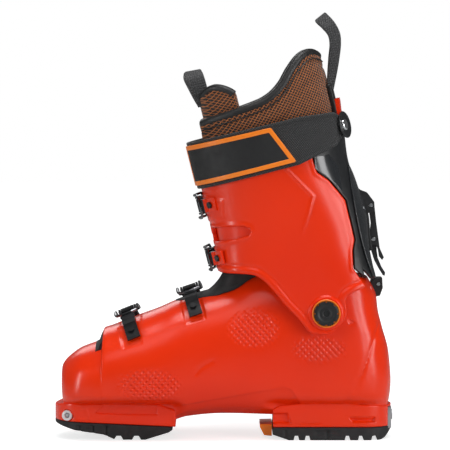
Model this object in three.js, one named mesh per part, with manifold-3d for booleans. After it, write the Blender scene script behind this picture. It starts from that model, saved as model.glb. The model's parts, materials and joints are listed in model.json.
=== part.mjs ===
// Alpine touring boot: plastic lower shell and cuff, soft liner, four buckles, walk mechanism.
// Millimetres. +Z up, toe towards -X, medial side at -Y, buckle levers on the lateral side at +Y.
// The origin is on the ground, in the middle plane, straight below the cuff pivots.
import * as THREE from 'three';
import { mergeVertices } from 'three/addons/utils/BufferGeometryUtils.js';
import Module from 'manifold-3d';

const wasm = await Module();
wasm.setup();

// ---------------------------------------------------------------- driving dimensions
const SOLE_LENGTH = 305;
const TOE_X = -244.6;
const HEEL_X = TOE_X + SOLE_LENGTH;
const PIVOT_Z = 116.2;
const CUFF_LEAN = THREE.MathUtils.degToRad(14);
const GAP = 0.4;
const SHELL_WALL = 4.5;
const SHELL_FLOOR = 6;
const CUFF_WALL = 4;
const LINER_GAP = 1.2;
const LINER_WALL = 7;
const WALK_RADIUS = 50;
const SOFT_JOINT_RADIUS = 61;
const SOLE_FRONT_TOP = 17;
const SOLE_SLOPE = (17 - 12) / 106;
const HEEL_SOLE_TOP = 11.5;
const LUG_HALF = 33;
const THROAT_HALF = 20;
const PIN_RADIUS = 1.5;
const PIVOT_BORE = 5.2;
const THROUGH = 80; // half width of a cutter that passes right across the boot
const SHELL_SIDES = 26;
const LINER_SIDES = 20;
const CUFF_SIDES = 26;

// ---------------------------------------------------------------- finishes
const finish = (color, roughness, metalness = 0) =>
  new THREE.MeshStandardMaterial({ color, roughness, metalness });
const RED = finish(0xe8401c, 0.25);
const ORANGE = finish(0xfb7d18, 0.35);
const BLACK = finish(0x17181a, 0.45);
const RUBBER = finish(0x1b1b1c, 0.85);
const CHROME = finish(0xc9ccd0, 0.18, 1);
const STEEL = finish(0x9fa3a8, 0.35, 1);
const WEBBING = finish(0x222326, 0.9);
const LINER = finish(0x3a2c22, 0.95);
const FOAM = finish(0x2b2b2e, 0.95);

const boot = new THREE.Group();
const vec = (x, y, z) => new THREE.Vector3(x, y, z);

// ---------------------------------------------------------------- solid helpers
function toSolid(geometry) {
  const bare = geometry.index ? geometry.toNonIndexed() : geometry.clone();
  bare.deleteAttribute('normal');
  bare.deleteAttribute('uv');
  const merged = mergeVertices(bare, 1e-4);
  const numbers = Float32Array.from(merged.attributes.position.array);
  const triangles = Uint32Array.from(merged.index.array);
  return new wasm.Manifold(new wasm.Mesh({ numProp: 3, vertProperties: numbers, triVerts: triangles }));
}

function toGeometry(solid) {
  const mesh = solid.getMesh();
  const geometry = new THREE.BufferGeometry();
  geometry.setAttribute('position', new THREE.BufferAttribute(mesh.vertProperties, 3));
  geometry.setIndex(new THREE.BufferAttribute(mesh.triVerts, 1));
  geometry.computeVertexNormals();
  return geometry;
}

function add(name, material, shape) {
  const geometry = shape.isBufferGeometry ? shape : toGeometry(shape);
  const mesh = new THREE.Mesh(geometry, material);
  mesh.name = name;
  boot.add(mesh);
  return mesh;
}

// Closed skin through rings of points, with a flat fan over each end.
function loft(rings) {
  const points = [];
  const faces = [];
  const count = rings[0].length;
  rings.forEach((ring) => ring.forEach((p) => points.push(p.x, p.y, p.z)));
  for (let i = 0; i < rings.length - 1; i += 1) {
    for (let j = 0; j < count; j += 1) {
      const a = i * count + j;
      const b = i * count + ((j + 1) % count);
      faces.push(a, b, b + count, a, b + count, a + count);
    }
  }
  [0, rings.length - 1].forEach((end) => {
    const middle = rings[end].reduce((sum, p) => sum.add(p), vec(0, 0, 0)).divideScalar(count);
    const hub = points.length / 3;
    points.push(middle.x, middle.y, middle.z);
    for (let j = 0; j < count; j += 1) {
      const a = end * count + j;
      const b = end * count + ((j + 1) % count);
      faces.push(...(end === 0 ? [hub, b, a] : [hub, a, b]));
    }
  });
  const geometry = new THREE.BufferGeometry();
  geometry.setAttribute('position', new THREE.Float32BufferAttribute(points, 3));
  geometry.setIndex(faces);
  if (signedVolume(geometry) < 0) {
    const turned = [];
    for (let i = 0; i < faces.length; i += 3) turned.push(faces[i], faces[i + 2], faces[i + 1]);
    geometry.setIndex(turned);
  }
  return toSolid(geometry);
}

function signedVolume(geometry) {
  const place = geometry.attributes.position;
  const index = geometry.index.array;
  const corner = (k) => new THREE.Vector3().fromBufferAttribute(place, index[k]);
  let volume = 0;
  for (let i = 0; i < index.length; i += 3) {
    volume += corner(i).dot(corner(i + 1).cross(corner(i + 2))) / 6;
  }
  return volume;
}

const polygon = (points) => new THREE.Shape(points.map(([a, b]) => new THREE.Vector2(a, b)));

function extruded(shape, depth, curveSegments) {
  return new THREE.ExtrudeGeometry(shape, { depth, bevelEnabled: false, curveSegments });
}

// A side outline in X and Z, made solid from y = low to y = high.
function sideSolid(points, low = -THROUGH, high = THROUGH) {
  const shape = points instanceof THREE.Shape ? points : polygon(points);
  const geometry = extruded(shape, high - low, 8);
  geometry.rotateX(Math.PI / 2);
  geometry.translate(0, high, 0);
  return toSolid(geometry);
}

// A plan outline in X and Y, made solid from z = low to z = high.
function planSolid(shape, low, high) {
  const geometry = extruded(shape, high - low, 10);
  geometry.translate(0, 0, low);
  return toSolid(geometry);
}

function block(x0, x1, y0, y1, z0, z1) {
  const geometry = new THREE.BoxGeometry(x1 - x0, y1 - y0, z1 - z0);
  geometry.translate((x0 + x1) / 2, (y0 + y1) / 2, (z0 + z1) / 2);
  return toSolid(geometry);
}

function rod(from, to, radius, sides = 16) {
  const span = new THREE.Vector3().subVectors(to, from);
  const geometry = new THREE.CylinderGeometry(radius, radius, span.length(), sides);
  const turn = new THREE.Quaternion().setFromUnitVectors(vec(0, 1, 0), span.clone().normalize());
  geometry.applyQuaternion(turn);
  geometry.translate((from.x + to.x) / 2, (from.y + to.y) / 2, (from.z + to.z) / 2);
  return toSolid(geometry);
}

const crossRod = (x, z, y0, y1, radius, sides = 20) => rod(vec(x, y0, z), vec(x, y1, z), radius, sides);

const alongX = (x0, x1, z, radius, sides) => rod(vec(x0, 0, z), vec(x1, 0, z), radius, sides);

// Bent wire of six-sided section along a list of points.
function bentWire(points, radius, steps) {
  const path = new THREE.CatmullRomCurve3(points, false, 'centripetal');
  const section = new THREE.Shape();
  section.absellipse(0, 0, radius, radius, 0, Math.PI * 2);
  const outline = new THREE.Shape(section.getSpacedPoints(6).slice(0, 6));
  const sweep = { steps, bevelEnabled: false, extrudePath: path };
  return toSolid(new THREE.ExtrudeGeometry(outline, sweep));
}

function largestPart(solid) {
  return solid.decompose().sort((a, b) => b.volume() - a.volume())[0];
}

// Rounded oval: its two reaches may differ, and it is widest at 90 degrees.
function oval(angle, high, low, half, power) {
  const c = Math.cos(angle);
  const s = Math.sin(angle);
  const along = Math.sign(c) * Math.abs(c) ** (2 / power) * (c > 0 ? high : low);
  const across = Math.sign(s) * Math.abs(s) ** (2 / power) * half;
  return [along, across];
}

// ---------------------------------------------------------------- foot sections
// Each section joins a point of the sole or heel line to a point of the top line:
// bottom x, bottom z, top x, top z, half width, roundness.
const FOOT_SECTIONS = [
  [-238.2, 42, -238.4, 60, 13, 2.0],
  [-237.4, 34, -238, 64.5, 22, 2.1],
  [-235, 26, -235, 70, 31, 2.3],
  [-229, 20, -229, 75.5, 39.5, 2.4],
  [-221, 18, -221, 81, 45.5, 2.5],
  [-207, 17.3, -207, 86.3, 50.5, 2.5],
  [-201.6, 17, -201.6, 89, 51.5, 2.5],
  [-199.6, 17, -199.6, 98.6, 52, 2.5],
  [-190, 16.6, -191, 102, 53, 2.5],
  [-165, 16, -169, 110.6, 54, 2.5],
  [-140, 16, -149, 118, 52.5, 2.5],
  [-124, 19.5, -137, 123.3, 50.5, 2.5],
  [-92, 22, -112, 131.5, 47, 2.5],
  [-45, 21, -86, 138.5, 45, 2.6],
  [0, 15, -72, 148, 44.5, 2.7],
  [42, 15, -64, 152, 44.5, 2.8],
  [57, 30, -60, 153.5, 44.5, 2.8],
  [60, 52, -57, 154.5, 44.5, 2.8],
  [58, 78, -55, 155, 44.5, 2.8],
  [52, 101, -53, 155.5, 44.5, 2.8],
  [48.3, 116, -51, 156, 44.5, 2.8],
  [46.5, 130, -50, 156.5, 44, 2.8],
  [39, 145.5, -49, 157, 43.5, 2.8],
];
const WIDEST = 0.42;

// Over each sole block the shell turns in above the lug, so that the lug stands proud of it.
const TUCK_HEIGHT = 33;
const TUCK_ROUND = 9;
const TUCK_MARGIN = 1;

function tuckedIn(x, y, z, inset) {
  const atToe = THREE.MathUtils.smoothstep(-x, 124, 140);
  const atHeel = THREE.MathUtils.smoothstep(x, -58, -44);
  const share = Math.max(atToe, atHeel);
  const depth = THREE.MathUtils.clamp((TUCK_HEIGHT + inset + TUCK_ROUND - z) / TUCK_ROUND, 0, 1);
  const narrow = LUG_HALF - TUCK_MARGIN - inset;
  const wide = Math.abs(y);
  if (wide <= narrow) return y;
  const allowed = narrow + (wide - narrow) * Math.sqrt(1 - depth * depth);
  return Math.sign(y) * THREE.MathUtils.lerp(wide, allowed, share);
}

function footRing(section, inset, floor, count) {
  const [bx, bz, tx, tz, half, power] = section;
  const bottom = new THREE.Vector2(bx, bz);
  const top = new THREE.Vector2(tx, tz);
  const length = bottom.distanceTo(top);
  const up = top.clone().sub(bottom).divideScalar(length);
  const middle = bottom.clone().addScaledVector(up, WIDEST * length);
  const ring = [];
  for (let i = 0; i < count; i += 1) {
    const angle = (2 * Math.PI * i) / count;
    const high = (1 - WIDEST) * length - inset;
    const low = WIDEST * length - floor;
    const [along, across] = oval(angle, high, low, half - inset, power);
    const x = middle.x + up.x * along;
    const z = middle.y + up.y * along;
    ring.push(vec(x, tuckedIn(x, across, z, inset), z));
  }
  return ring;
}

// Hollow forms start further from the toe and run on past the collar.
function footForm(inset, floor, first, rise, count = SHELL_SIDES) {
  const sections = FOOT_SECTIONS.slice(first).map((s) => [...s]);
  const start = sections[0];
  const wanted = FOOT_SECTIONS[0][0] + inset + 1;
  const shift = Math.max(0, wanted - start[0]);
  start[0] += shift;
  start[2] += shift;
  if (rise > 0) {
    const [bx, bz, tx, tz, half, power] = sections[sections.length - 1];
    sections.push([bx - 4, bz + rise, tx - 4, tz + rise, half, power]);
  }
  return loft(sections.map((s) => footRing(s, inset, floor, count)));
}

// ---------------------------------------------------------------- leg sections
// The shaft leans forward; "s" runs up it from the pivots and "r" rearwards across it.
const UP = new THREE.Vector2(-Math.sin(CUFF_LEAN), Math.cos(CUFF_LEAN));
const BACK = new THREE.Vector2(Math.cos(CUFF_LEAN), Math.sin(CUFF_LEAN));
const shaft = (r, s) => [BACK.x * r + UP.x * s, PIVOT_Z + BACK.y * r + UP.y * s];

// s, front reach, rear reach, half width, roundness of the cuff's outer face.
const LEG_SECTIONS = [
  [-32, -84, 51, 51, 4.2],
  [20, -84, 52, 51, 4.0],
  [48, -85, 53, 51.3, 3.4],
  [76, -83, 57, 52, 2.9],
  [100, -82, 56, 53, 2.6],
  [125, -82, 53.5, 54, 2.4],
  [150, -82, 56, 54.5, 2.3],
  [180, -82, 60, 54.5, 2.3],
  [245, -82, 60, 54.5, 2.3],
];
const LEG_WIDEST = -8;

function legValues(s) {
  const rows = LEG_SECTIONS;
  const i = Math.min(rows.length - 2, Math.max(0, rows.findIndex((row) => row[0] > s) - 1));
  const t = (s - rows[i][0]) / (rows[i + 1][0] - rows[i][0]);
  return rows[i].map((value, k) => value + (rows[i + 1][k] - value) * t);
}

function legForm(inset, low, high, steps = 7, frontInset = inset, count = CUFF_SIDES) {
  const rings = [];
  for (let k = 0; k <= steps; k += 1) {
    const s = low + ((high - low) * k) / steps;
    const [, front, rear, half, power] = legValues(s);
    const ring = [];
    for (let i = 0; i < count; i += 1) {
      const angle = (2 * Math.PI * i) / count;
      const rearReach = rear - inset - LEG_WIDEST;
      const frontReach = LEG_WIDEST - front - frontInset;
      const [along, across] = oval(angle, rearReach, frontReach, half - inset, power);
      const [x, z] = shaft(LEG_WIDEST + along, s);
      ring.push(vec(x, across, z));
    }
    rings.push(ring);
  }
  return loft(rings);
}

// A side outline given in shaft coordinates.
const shaftSolid = (points, low = -THROUGH, high = THROUGH) => (
  sideSolid(points.map(([r, s]) => shaft(r, s)), low, high));

// ---------------------------------------------------------------- lower shell
const TOE_LUG_BACK = -138;

function toePlan() {
  const shape = new THREE.Shape();
  const back = TOE_LUG_BACK;
  shape.moveTo(back, -LUG_HALF + 2);
  shape.lineTo(back, LUG_HALF - 2);
  shape.lineTo(TOE_X + 30, LUG_HALF);
  shape.bezierCurveTo(TOE_X + 12, LUG_HALF, TOE_X, LUG_HALF - 12, TOE_X, 0);
  shape.bezierCurveTo(TOE_X, -LUG_HALF + 12, TOE_X + 12, -LUG_HALF, TOE_X + 30, -LUG_HALF);
  return shape;
}

function heelPlan() {
  const shape = new THREE.Shape();
  shape.moveTo(-47, -LUG_HALF);
  shape.lineTo(HEEL_X - 26, -LUG_HALF);
  shape.bezierCurveTo(HEEL_X - 9, -LUG_HALF, HEEL_X, -LUG_HALF + 14, HEEL_X, 0);
  shape.bezierCurveTo(HEEL_X, LUG_HALF - 14, HEEL_X - 9, LUG_HALF, HEEL_X - 26, LUG_HALF);
  shape.lineTo(-47, LUG_HALF);
  return shape;
}

const soleTopAt = (x) => SOLE_FRONT_TOP - SOLE_SLOPE * (x - TOE_X);

const TOE_LEDGE_X = -239.4;

function toeBlock() {
  const side = sideSolid([[TOE_X - 1, soleTopAt(TOE_X) + GAP], [-137, soleTopAt(-137) + GAP], [-134, 26],
    [-150, 33], [-237, 33], [TOE_LEDGE_X, 31], [TOE_X - 1, 31]]);
  return planSolid(toePlan(), 5, 40).intersect(side);
}

function heelBlock() {
  const side = sideSolid([[-47, HEEL_SOLE_TOP + GAP], [HEEL_X + 1, HEEL_SOLE_TOP + GAP], [HEEL_X + 1, 31],
    [20, 34], [-20, 34], [-47, 26]]);
  return planSolid(heelPlan(), 5, 40).intersect(side);
}

// Plan of the entry slot over the instep, with a round front end.
function throatPlan(inset = 0) {
  const half = THROAT_HALF - inset;
  const shape = new THREE.Shape();
  shape.moveTo(-20, -half);
  shape.lineTo(-20, half);
  shape.lineTo(-86, half);
  shape.absarc(-86, 0, half, Math.PI / 2, Math.PI * 1.5, false);
  return shape;
}

const THROAT_FLOOR = 104;
const TOE_INSERT = [TOE_X + 12, 22];
const HEEL_INSERT_Z = 20;

function lowerShell() {
  const cavity = footForm(SHELL_WALL, SHELL_FLOOR, 3, 30, LINER_SIDES);
  let shell = footForm(0, 0, 0, 0).add(toeBlock()).add(heelBlock()).subtract(cavity);
  shell = shell.subtract(planSolid(throatPlan(), THROAT_FLOOR, 190));
  for (const side of [-1, 1]) {
    const flank = (depth) => (side < 0 ? [-THROUGH, depth - LUG_HALF] : [LUG_HALF - depth, THROUGH]);
    shell = shell.subtract(sideSolid([[-205, 26], [-152, 22], [-152, 31], [-200, 32]], ...flank(5)));
    shell = shell.subtract(sideSolid([[21.4, 21], [44.3, 21], [44.3, 16.5], [25, 16.5]], ...flank(4)));
    shell = shell.subtract(sideSolid([[-53, 15.5], [-30, 15.5], [-33, 25], [-53, 25]], ...flank(4)));
    shell = shell.subtract(crossRod(0, PIVOT_Z, side * 30, side * THROUGH, PIVOT_BORE));
  }
  shell = shell.subtract(crossRod(...TOE_INSERT, -THROUGH, THROUGH, 5));
  shell = shell.subtract(block(HEEL_X - 7, HEEL_X + 5, -17.4, 17.4, 5, 29));
  shell = shell.subtract(alongX(HEEL_X - 16, HEEL_X, HEEL_INSERT_Z, 2.4, 12));
  shell = shell.subtract(strikePlate(GAP));
  return drilled(largestPart(shell));
}

// ---------------------------------------------------------------- soles
function toeSole() {
  const side = sideSolid([[TOE_X - 1, soleTopAt(TOE_X - 1)], [-137.5, soleTopAt(-137.5)],
    [-137.5, 9.5], [-141, 7], [-162, 0.5], [-166, 0.5], [-168, 4], [-172, 4], [-174, 0.5],
    [-182, 0.5], [-184, 4], [-188, 4], [-190, 1], [-200, 5.2], [-226, 9], [-239, 12.6],
    [TOE_X - 1, 14.5]]);
  return planSolid(toePlan(), -1, 40).intersect(side);
}

function heelSole() {
  const outline = [[-47.4, HEEL_SOLE_TOP], [-47.4, 5], [-40, 2.5], [-33, 0]];
  for (const notch of [-26, -16, 20, 32, 44]) {
    outline.push([notch - 2.5, 0], [notch - 1.5, 4], [notch + 1.5, 4], [notch + 2.5, 0]);
  }
  outline.push([50, 0], [54, 1.8], [59.6, 8], [HEEL_X + 1, HEEL_SOLE_TOP]);
  return planSolid(heelPlan(), -5, 40).intersect(sideSolid(outline))
    .subtract(block(HEEL_X - 7.4, HEEL_X + 5, -17.8, 17.8, 9, 40));
}

// ---------------------------------------------------------------- walk mechanism parts
const LEVER_PIN = [41.7, 210.9];
const BAR_PIN = [44.4, 180];
const STRIKE_PIN = [48.6, 139.5];

function strikePlate(grow = 0) {
  return sideSolid([[42 - grow, 127 - grow], [50 + grow, 129 - grow], [52.5 + grow, 136],
    [52 + grow, 145 + grow], [46, 145 + grow], [42 - grow, 142]], -11 - grow, 11 + grow);
}

// ---------------------------------------------------------------- cuff and spine
const CUFF_RIM = [[-100, 150.7], [-69.6, 150.7], [-58, 146.5], [-48, 137], [-37, 123.6],
  [-24.8, 111], [-16, 100], [-9.8, 97.5], [2.4, 97.5], [8.4, 101.8], [16.3, 109.7], [18.4, 118],
  [19, 131], [36, 139.5]];
const SPINE_EDGE = [[24.5, 156], [24, 172], [25.9, 181.7], [17.6, 217], [9.3, 227], [2.4, 235],
  [-8, 242], [-11, 250], [-17, 275]];
const SPINE_TOP = 164;
const BOSS_RADIUS = 15.5;

function cuffShell() {
  const outline = [...CUFF_RIM, ...SPINE_EDGE, [-150, 242], [-125, 150.7]];
  const wall = legForm(0, -32, 151, 8).subtract(legForm(CUFF_WALL, -34, 153, 8));
  let cuff = wall.intersect(sideSolid(outline));
  for (const side of [-1, 1]) {
    cuff = cuff.add(crossRod(0, PIVOT_Z, side * (51 - CUFF_WALL), side * 53, BOSS_RADIUS, 28));
    cuff = cuff.subtract(crossRod(0, PIVOT_Z, side * 40, side * 60, PIVOT_BORE));
  }
  const slot = new THREE.Shape();
  slot.moveTo(-125, 194);
  slot.lineTo(-73, 193.2);
  slot.absarc(-72.5, 188, 5.2, Math.PI / 2, -Math.PI / 2, true);
  slot.lineTo(-90, 179);
  slot.lineTo(-125, 178.5);
  cuff = cuff.subtract(sideSolid(slot, -THROUGH, -15));
  return drilled(largestPart(cuff.subtract(frontOverlap(0.7))));
}

// Inner flap that backs the relief slot, let into the inside of the cuff wall.
function frontOverlap(grow = 0) {
  const outline = sideSolid([[-125, 172 - grow], [-66 + 2 * grow, 172 - grow], [-64 + 2 * grow, 199 + grow],
    [-125, 200 + grow]], -THROUGH, -12 + grow);
  const layer = legForm(CUFF_WALL - 1.6 - grow, 40, 110, 3).subtract(legForm(CUFF_WALL + grow, 38, 112, 3));
  return layer.intersect(outline);
}

function spine() {
  const edge = SPINE_EDGE.map(([x, z]) => [x + 0.5, z]);
  const rear = (foot, rim) => sideSolid([foot, ...rim, [20, 300], [90, 300], [90, foot[1]]]);
  const layer = (outside, inside) => legForm(outside, 0, SPINE_TOP, 7)
    .subtract(legForm(inside, -2, SPINE_TOP + 2, 7));
  const shifted = (shift) => edge.map(([x, z]) => [x + shift, z]);
  const body = layer(0.2, 3.4).intersect(rear([38, 146.2], edge));
  const flange = layer(CUFF_WALL + GAP + 0.2, 6.6).intersect(rear([38, 146.2], shifted(-9)));
  const bridge = layer(1, 6.6).intersect(rear([42, 150], shifted(3)));
  const reach = crossRod(0, PIVOT_Z, -THROUGH, THROUGH, WALK_RADIUS + 1, 48);
  const window = block(25, 70, -12.4, 12.4, 130, 163);
  return drilled(largestPart(body.add(flange).add(bridge).subtract(reach).subtract(window)));
}

// ---------------------------------------------------------------- soft inner boot
const BOARD_TOE = 30;
const BOARD_HEEL = 36;
const rampAt = (x) => BOARD_TOE + ((BOARD_HEEL - BOARD_TOE) * (x - TOE_X)) / SOLE_LENGTH;
const aboveRamp = (lift) => sideSolid([[-260, rampAt(-260) + lift], [90, rampAt(90) + lift],
  [90, 260], [-260, 260]]);
const belowRamp = (lift) => sideSolid([[-260, -20], [90, -20], [90, rampAt(90) + lift],
  [-260, rampAt(-260) + lift]]);
const INNER_INSET = SHELL_WALL + LINER_GAP;
const NUT_DEPTH = 3.2;
const NUT_FACE = 38.8;

function pivotNutRoom(solid) {
  const reach = NUT_FACE - NUT_DEPTH - LINER_GAP;
  return solid.subtract(crossRod(0, PIVOT_Z, reach, 60, 10.5))
    .subtract(crossRod(0, PIVOT_Z, -60, -reach, 10.5));
}

const INSOLE_LOW = 5.8;
const INSOLE_HIGH = 9.3;

// Room for everything that turns with the cuff, rearwards or upwards of the pivots.
function turningRoom(outline, radius) {
  return sideSolid(outline).subtract(crossRod(0, PIVOT_Z, -THROUGH - 10, THROUGH + 10, radius, 40));
}

function linerFoot() {
  const outer = footForm(INNER_INSET, SHELL_FLOOR + GAP, 3, 30, LINER_SIDES).intersect(aboveRamp(GAP));
  const inner = footForm(INNER_INSET + LINER_WALL, SHELL_FLOOR, 4, 34, LINER_SIDES)
    .intersect(aboveRamp(INSOLE_LOW - GAP));
  const leg = turningRoom([[0, PIVOT_Z], [110, PIVOT_Z], [110, 320], [-160, 320], [-160, 203]],
    SOFT_JOINT_RADIUS - 0.8);
  const collar = turningRoom([[6, PIVOT_Z], [110, PIVOT_Z], [110, 320], [6, 320]], WALK_RADIUS + 1);
  return largestPart(pivotNutRoom(outer).subtract(inner).subtract(leg).subtract(collar));
}

function insole() {
  const inner = footForm(INNER_INSET + LINER_WALL + 0.6, SHELL_FLOOR, 4, 0, LINER_SIDES);
  return largestPart(inner.intersect(aboveRamp(INSOLE_LOW)).intersect(belowRamp(INSOLE_HIGH)));
}

function bootBoard() {
  const form = footForm(SHELL_WALL + 2 * GAP, SHELL_FLOOR + 2 * GAP, 3, 0, LINER_SIDES);
  return largestPart(form.intersect(belowRamp(0)));
}

// Side outlines in shaft coordinates: r rearwards, s up the leg.
const LINER_TOP = [[-90, 190], [-64, 193], [-22, 196.4], [-3, 200.4], [11, 209], [21.4, 220],
  [33, 229.5], [43, 231.4], [49, 226], [60, 200]];
const TONGUE_OUTLINE = [[-90, 74], [-36, 74], [-31, 120], [-25, 160], [-23, 197], [-28.4, 205.4],
  [-36, 214.6], [-46, 220.4], [-54, 220], [-62, 216], [-90, 206]];
const STRAP_OUTLINE = [[-100, 134], [9, 135], [46, 143], [54, 150], [58, 158], [57, 166], [50, 172],
  [19, 175.5], [-100, 176.5]];
const PATCH_OUTLINE = [[-100, 137], [7, 138], [-8.2, 172.9], [-100, 174]];

function linerCuff() {
  const outline = [[60, 40], [-30, 40], [-90, 66], ...LINER_TOP];
  const tube = legForm(8, 30, 240, 8, 8.7).subtract(legForm(8 + LINER_WALL, 28, 242, 8, 15.5));
  const slot = shaftSolid([[-100, 20], [-30, 20], [-30, 250], [-100, 250]], -17, 17);
  const turning = crossRod(0, PIVOT_Z, -THROUGH - 10, THROUGH + 10, SOFT_JOINT_RADIUS, 40);
  return largestPart(tube.intersect(shaftSolid(outline)).subtract(slot).subtract(turning));
}

function linerTongue() {
  const tube = legForm(15.8, 60, 226, 6, 16.5).subtract(legForm(21.4, 58, 228, 6, 23));
  return largestPart(tube.intersect(shaftSolid(TONGUE_OUTLINE, -35, 35)));
}

function throatGaiter() {
  const outer = [[-108, 127], [-106, 134.5], [-101, 139], [-96, 143.5], [-92, 147.5], [-86.5, 153]];
  const inner = [[-81.5, 152], [-87, 145], [-94, 137.5], [-100, 133]];
  return planSolid(throatPlan(GAP), 100, 200).intersect(sideSolid([...outer, ...inner]));
}

const band = (outline, inside, outside) => legForm(-outside, 128, 184, 3)
  .subtract(legForm(-inside, 126, 186, 3)).intersect(shaftSolid(outline));

// ---------------------------------------------------------------- buckles
// Each buckle sits on a crown line: "u" runs along the boot, "y" across it and "w" out of the crown.
// x, z of the crown, direction of u, crown reach, half width and roundness below the buckle.
const LEG_CROWN = (s) => {
  const [, front, , half, power] = legValues(s);
  const [x, z] = shaft(front, s);
  return { at: [x, z], along: [UP.x, UP.y], reach: LEG_WIDEST - front, half, power };
};
const TOE_CROWN = { at: [-177, 107.6], along: [0.932, 0.363], reach: 53, half: 53.6, power: 2.5 };
const INSTEP_CROWN = { at: [-121, 128.6], along: [0.949, 0.316], reach: 61, half: 48, power: 2.5 };
const BUCKLES = [
  { name: 'toe', crown: TOE_CROWN, lift: 1.6, rackEnd: 44, leverLength: 36 },
  { name: 'instep', crown: INSTEP_CROWN, lift: 1.6, rackEnd: 38, leverLength: 33 },
  { name: 'lower_cuff', crown: LEG_CROWN(70), lift: 1.5, rackEnd: 34, leverLength: 38 },
  { name: 'upper_cuff', crown: LEG_CROWN(118), lift: 0.5, rackEnd: 34, leverLength: 40 },
];
const HINGE_SIDE = 17;
const RACK_HALF = 6;
const LEVER_HALF = 6;
const EAR_INNER = 6.5;
const EAR_OUTER = 8.3;
const BAIL_HALF = 10.4;
const PLATE = 1.8;
const LEVER_THICK = 3.4;
const HINGE_RISE = 6.2;
const BAIL_ARM = 7.5;
const WIRE = 1.25;
const PIN_PLAY = 0.35;
const holes = [];
const drilled = (solid) => holes.reduce((rest, hole) => rest.subtract(hole), solid);

// Puts an outline drawn in (y, w) on the boot, made solid from u = low to u = high.
function onCrown(crown, points, low, high) {
  const shape = points instanceof THREE.Shape ? points : polygon(points);
  const geometry = extruded(shape, high - low, 6);
  geometry.translate(0, 0, low);
  const [tx, tz] = crown.along;
  const across = vec(0, 1, 0);
  const out = vec(-tz, 0, tx);
  const along = vec(tx, 0, tz);
  geometry.applyMatrix4(new THREE.Matrix4().makeBasis(across, out, along));
  geometry.translate(crown.at[0], 0, crown.at[1]);
  return toSolid(geometry);
}

function crownPoint(crown, u, y, w) {
  const [tx, tz] = crown.along;
  return vec(crown.at[0] + tx * u - tz * w, y, crown.at[1] + tz * u + tx * w);
}

// Point at a height above the crown's own curve, in (y, w).
function aboveCrown(crown, y, height) {
  const { reach, half, power } = crown;
  const share = (t) => Math.min(0.995, Math.abs(t / half)) ** power;
  const fall = (t) => -reach * (1 - (1 - share(t)) ** (1 / power));
  const slope = fall(y + 0.5) - fall(y - 0.5);
  const size = Math.hypot(1, slope);
  return [y - (slope / size) * height, fall(y) + height / size];
}

function strip(crown, from, to, low, high, steps = 8) {
  const row = (height, t) => {
    const rise = typeof height === 'function' ? height(t) : height;
    return aboveCrown(crown, from + (to - from) * t, rise);
  };
  const lower = [];
  const upper = [];
  for (let i = 0; i <= steps; i += 1) {
    lower.push(row(low, i / steps));
    upper.unshift(row(high, i / steps));
  }
  return [...lower, ...upper];
}

const round = (y, w, radius) => {
  const shape = new THREE.Shape();
  shape.absarc(y, w, radius, 0, Math.PI * 2);
  return new THREE.Shape(shape.getSpacedPoints(14).slice(0, 14));
};

const RIVET_RADIUS = 1.5;

// Rivet of a buckle's rack; it returns the hole the rack needs, and the wall's hole is kept for later.
function makeRivet(crown, y, lift, name) {
  const base = aboveCrown(crown, y, -3);
  const top = aboveCrown(crown, y, lift + PLATE + GAP);
  const head = aboveCrown(crown, y, lift + PLATE + 2);
  const [from, middle, to] = [base, top, head].map(([a, b]) => crownPoint(crown, 0, a, b));
  add(name, STEEL, rod(from, to, RIVET_RADIUS, 10).add(rod(middle, to, 3, 12)));
  const deeper = from.clone().addScaledVector(to.clone().sub(from).normalize(), -GAP);
  holes.push(rod(deeper, to, RIVET_RADIUS + GAP, 10));
  return rod(from, to, RIVET_RADIUS + GAP, 10);
}

function makeBuckleBase(crown, lift, pinHole) {
  const low = lift + 0.5;
  const high = lift + HINGE_RISE + 2.6;
  const ear = [aboveCrown(crown, HINGE_SIDE - 5, low), aboveCrown(crown, HINGE_SIDE + 5, low),
    aboveCrown(crown, HINGE_SIDE + 2.8, high), aboveCrown(crown, HINGE_SIDE - 2.8, high)];
  const plate = strip(crown, HINGE_SIDE - 13, HINGE_SIDE + 15, lift, lift + PLATE, 5);
  return onCrown(crown, plate, -EAR_OUTER, EAR_OUTER)
    .add(onCrown(crown, ear, EAR_INNER, EAR_OUTER))
    .add(onCrown(crown, ear, -EAR_OUTER, -EAR_INNER))
    .subtract(pinHole);
}

function makeBail(crown, lift, by, bw) {
  const over = (u, y, height) => {
    const [a, b] = aboveCrown(crown, y, height);
    return crownPoint(crown, u, a, b);
  };
  const clear = lift + PLATE + 2.4 + WIRE + 0.5;
  const arm = (side) => [
    crownPoint(crown, side * 2.5, by, bw),
    crownPoint(crown, side * (BAIL_HALF - 1.4), by, bw),
    crownPoint(crown, side * BAIL_HALF, by - 1.6, bw + 0.4),
    over(side * BAIL_HALF, 10, clear + 1.6),
    over(side * BAIL_HALF, 0, clear + 1.2),
    over(side * BAIL_HALF, -10, clear),
    over(side * (BAIL_HALF - 1.2), -15, clear),
  ];
  return bentWire([...arm(1), over(0, -16.5, clear), ...arm(-1).reverse()], WIRE, 26);
}

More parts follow.
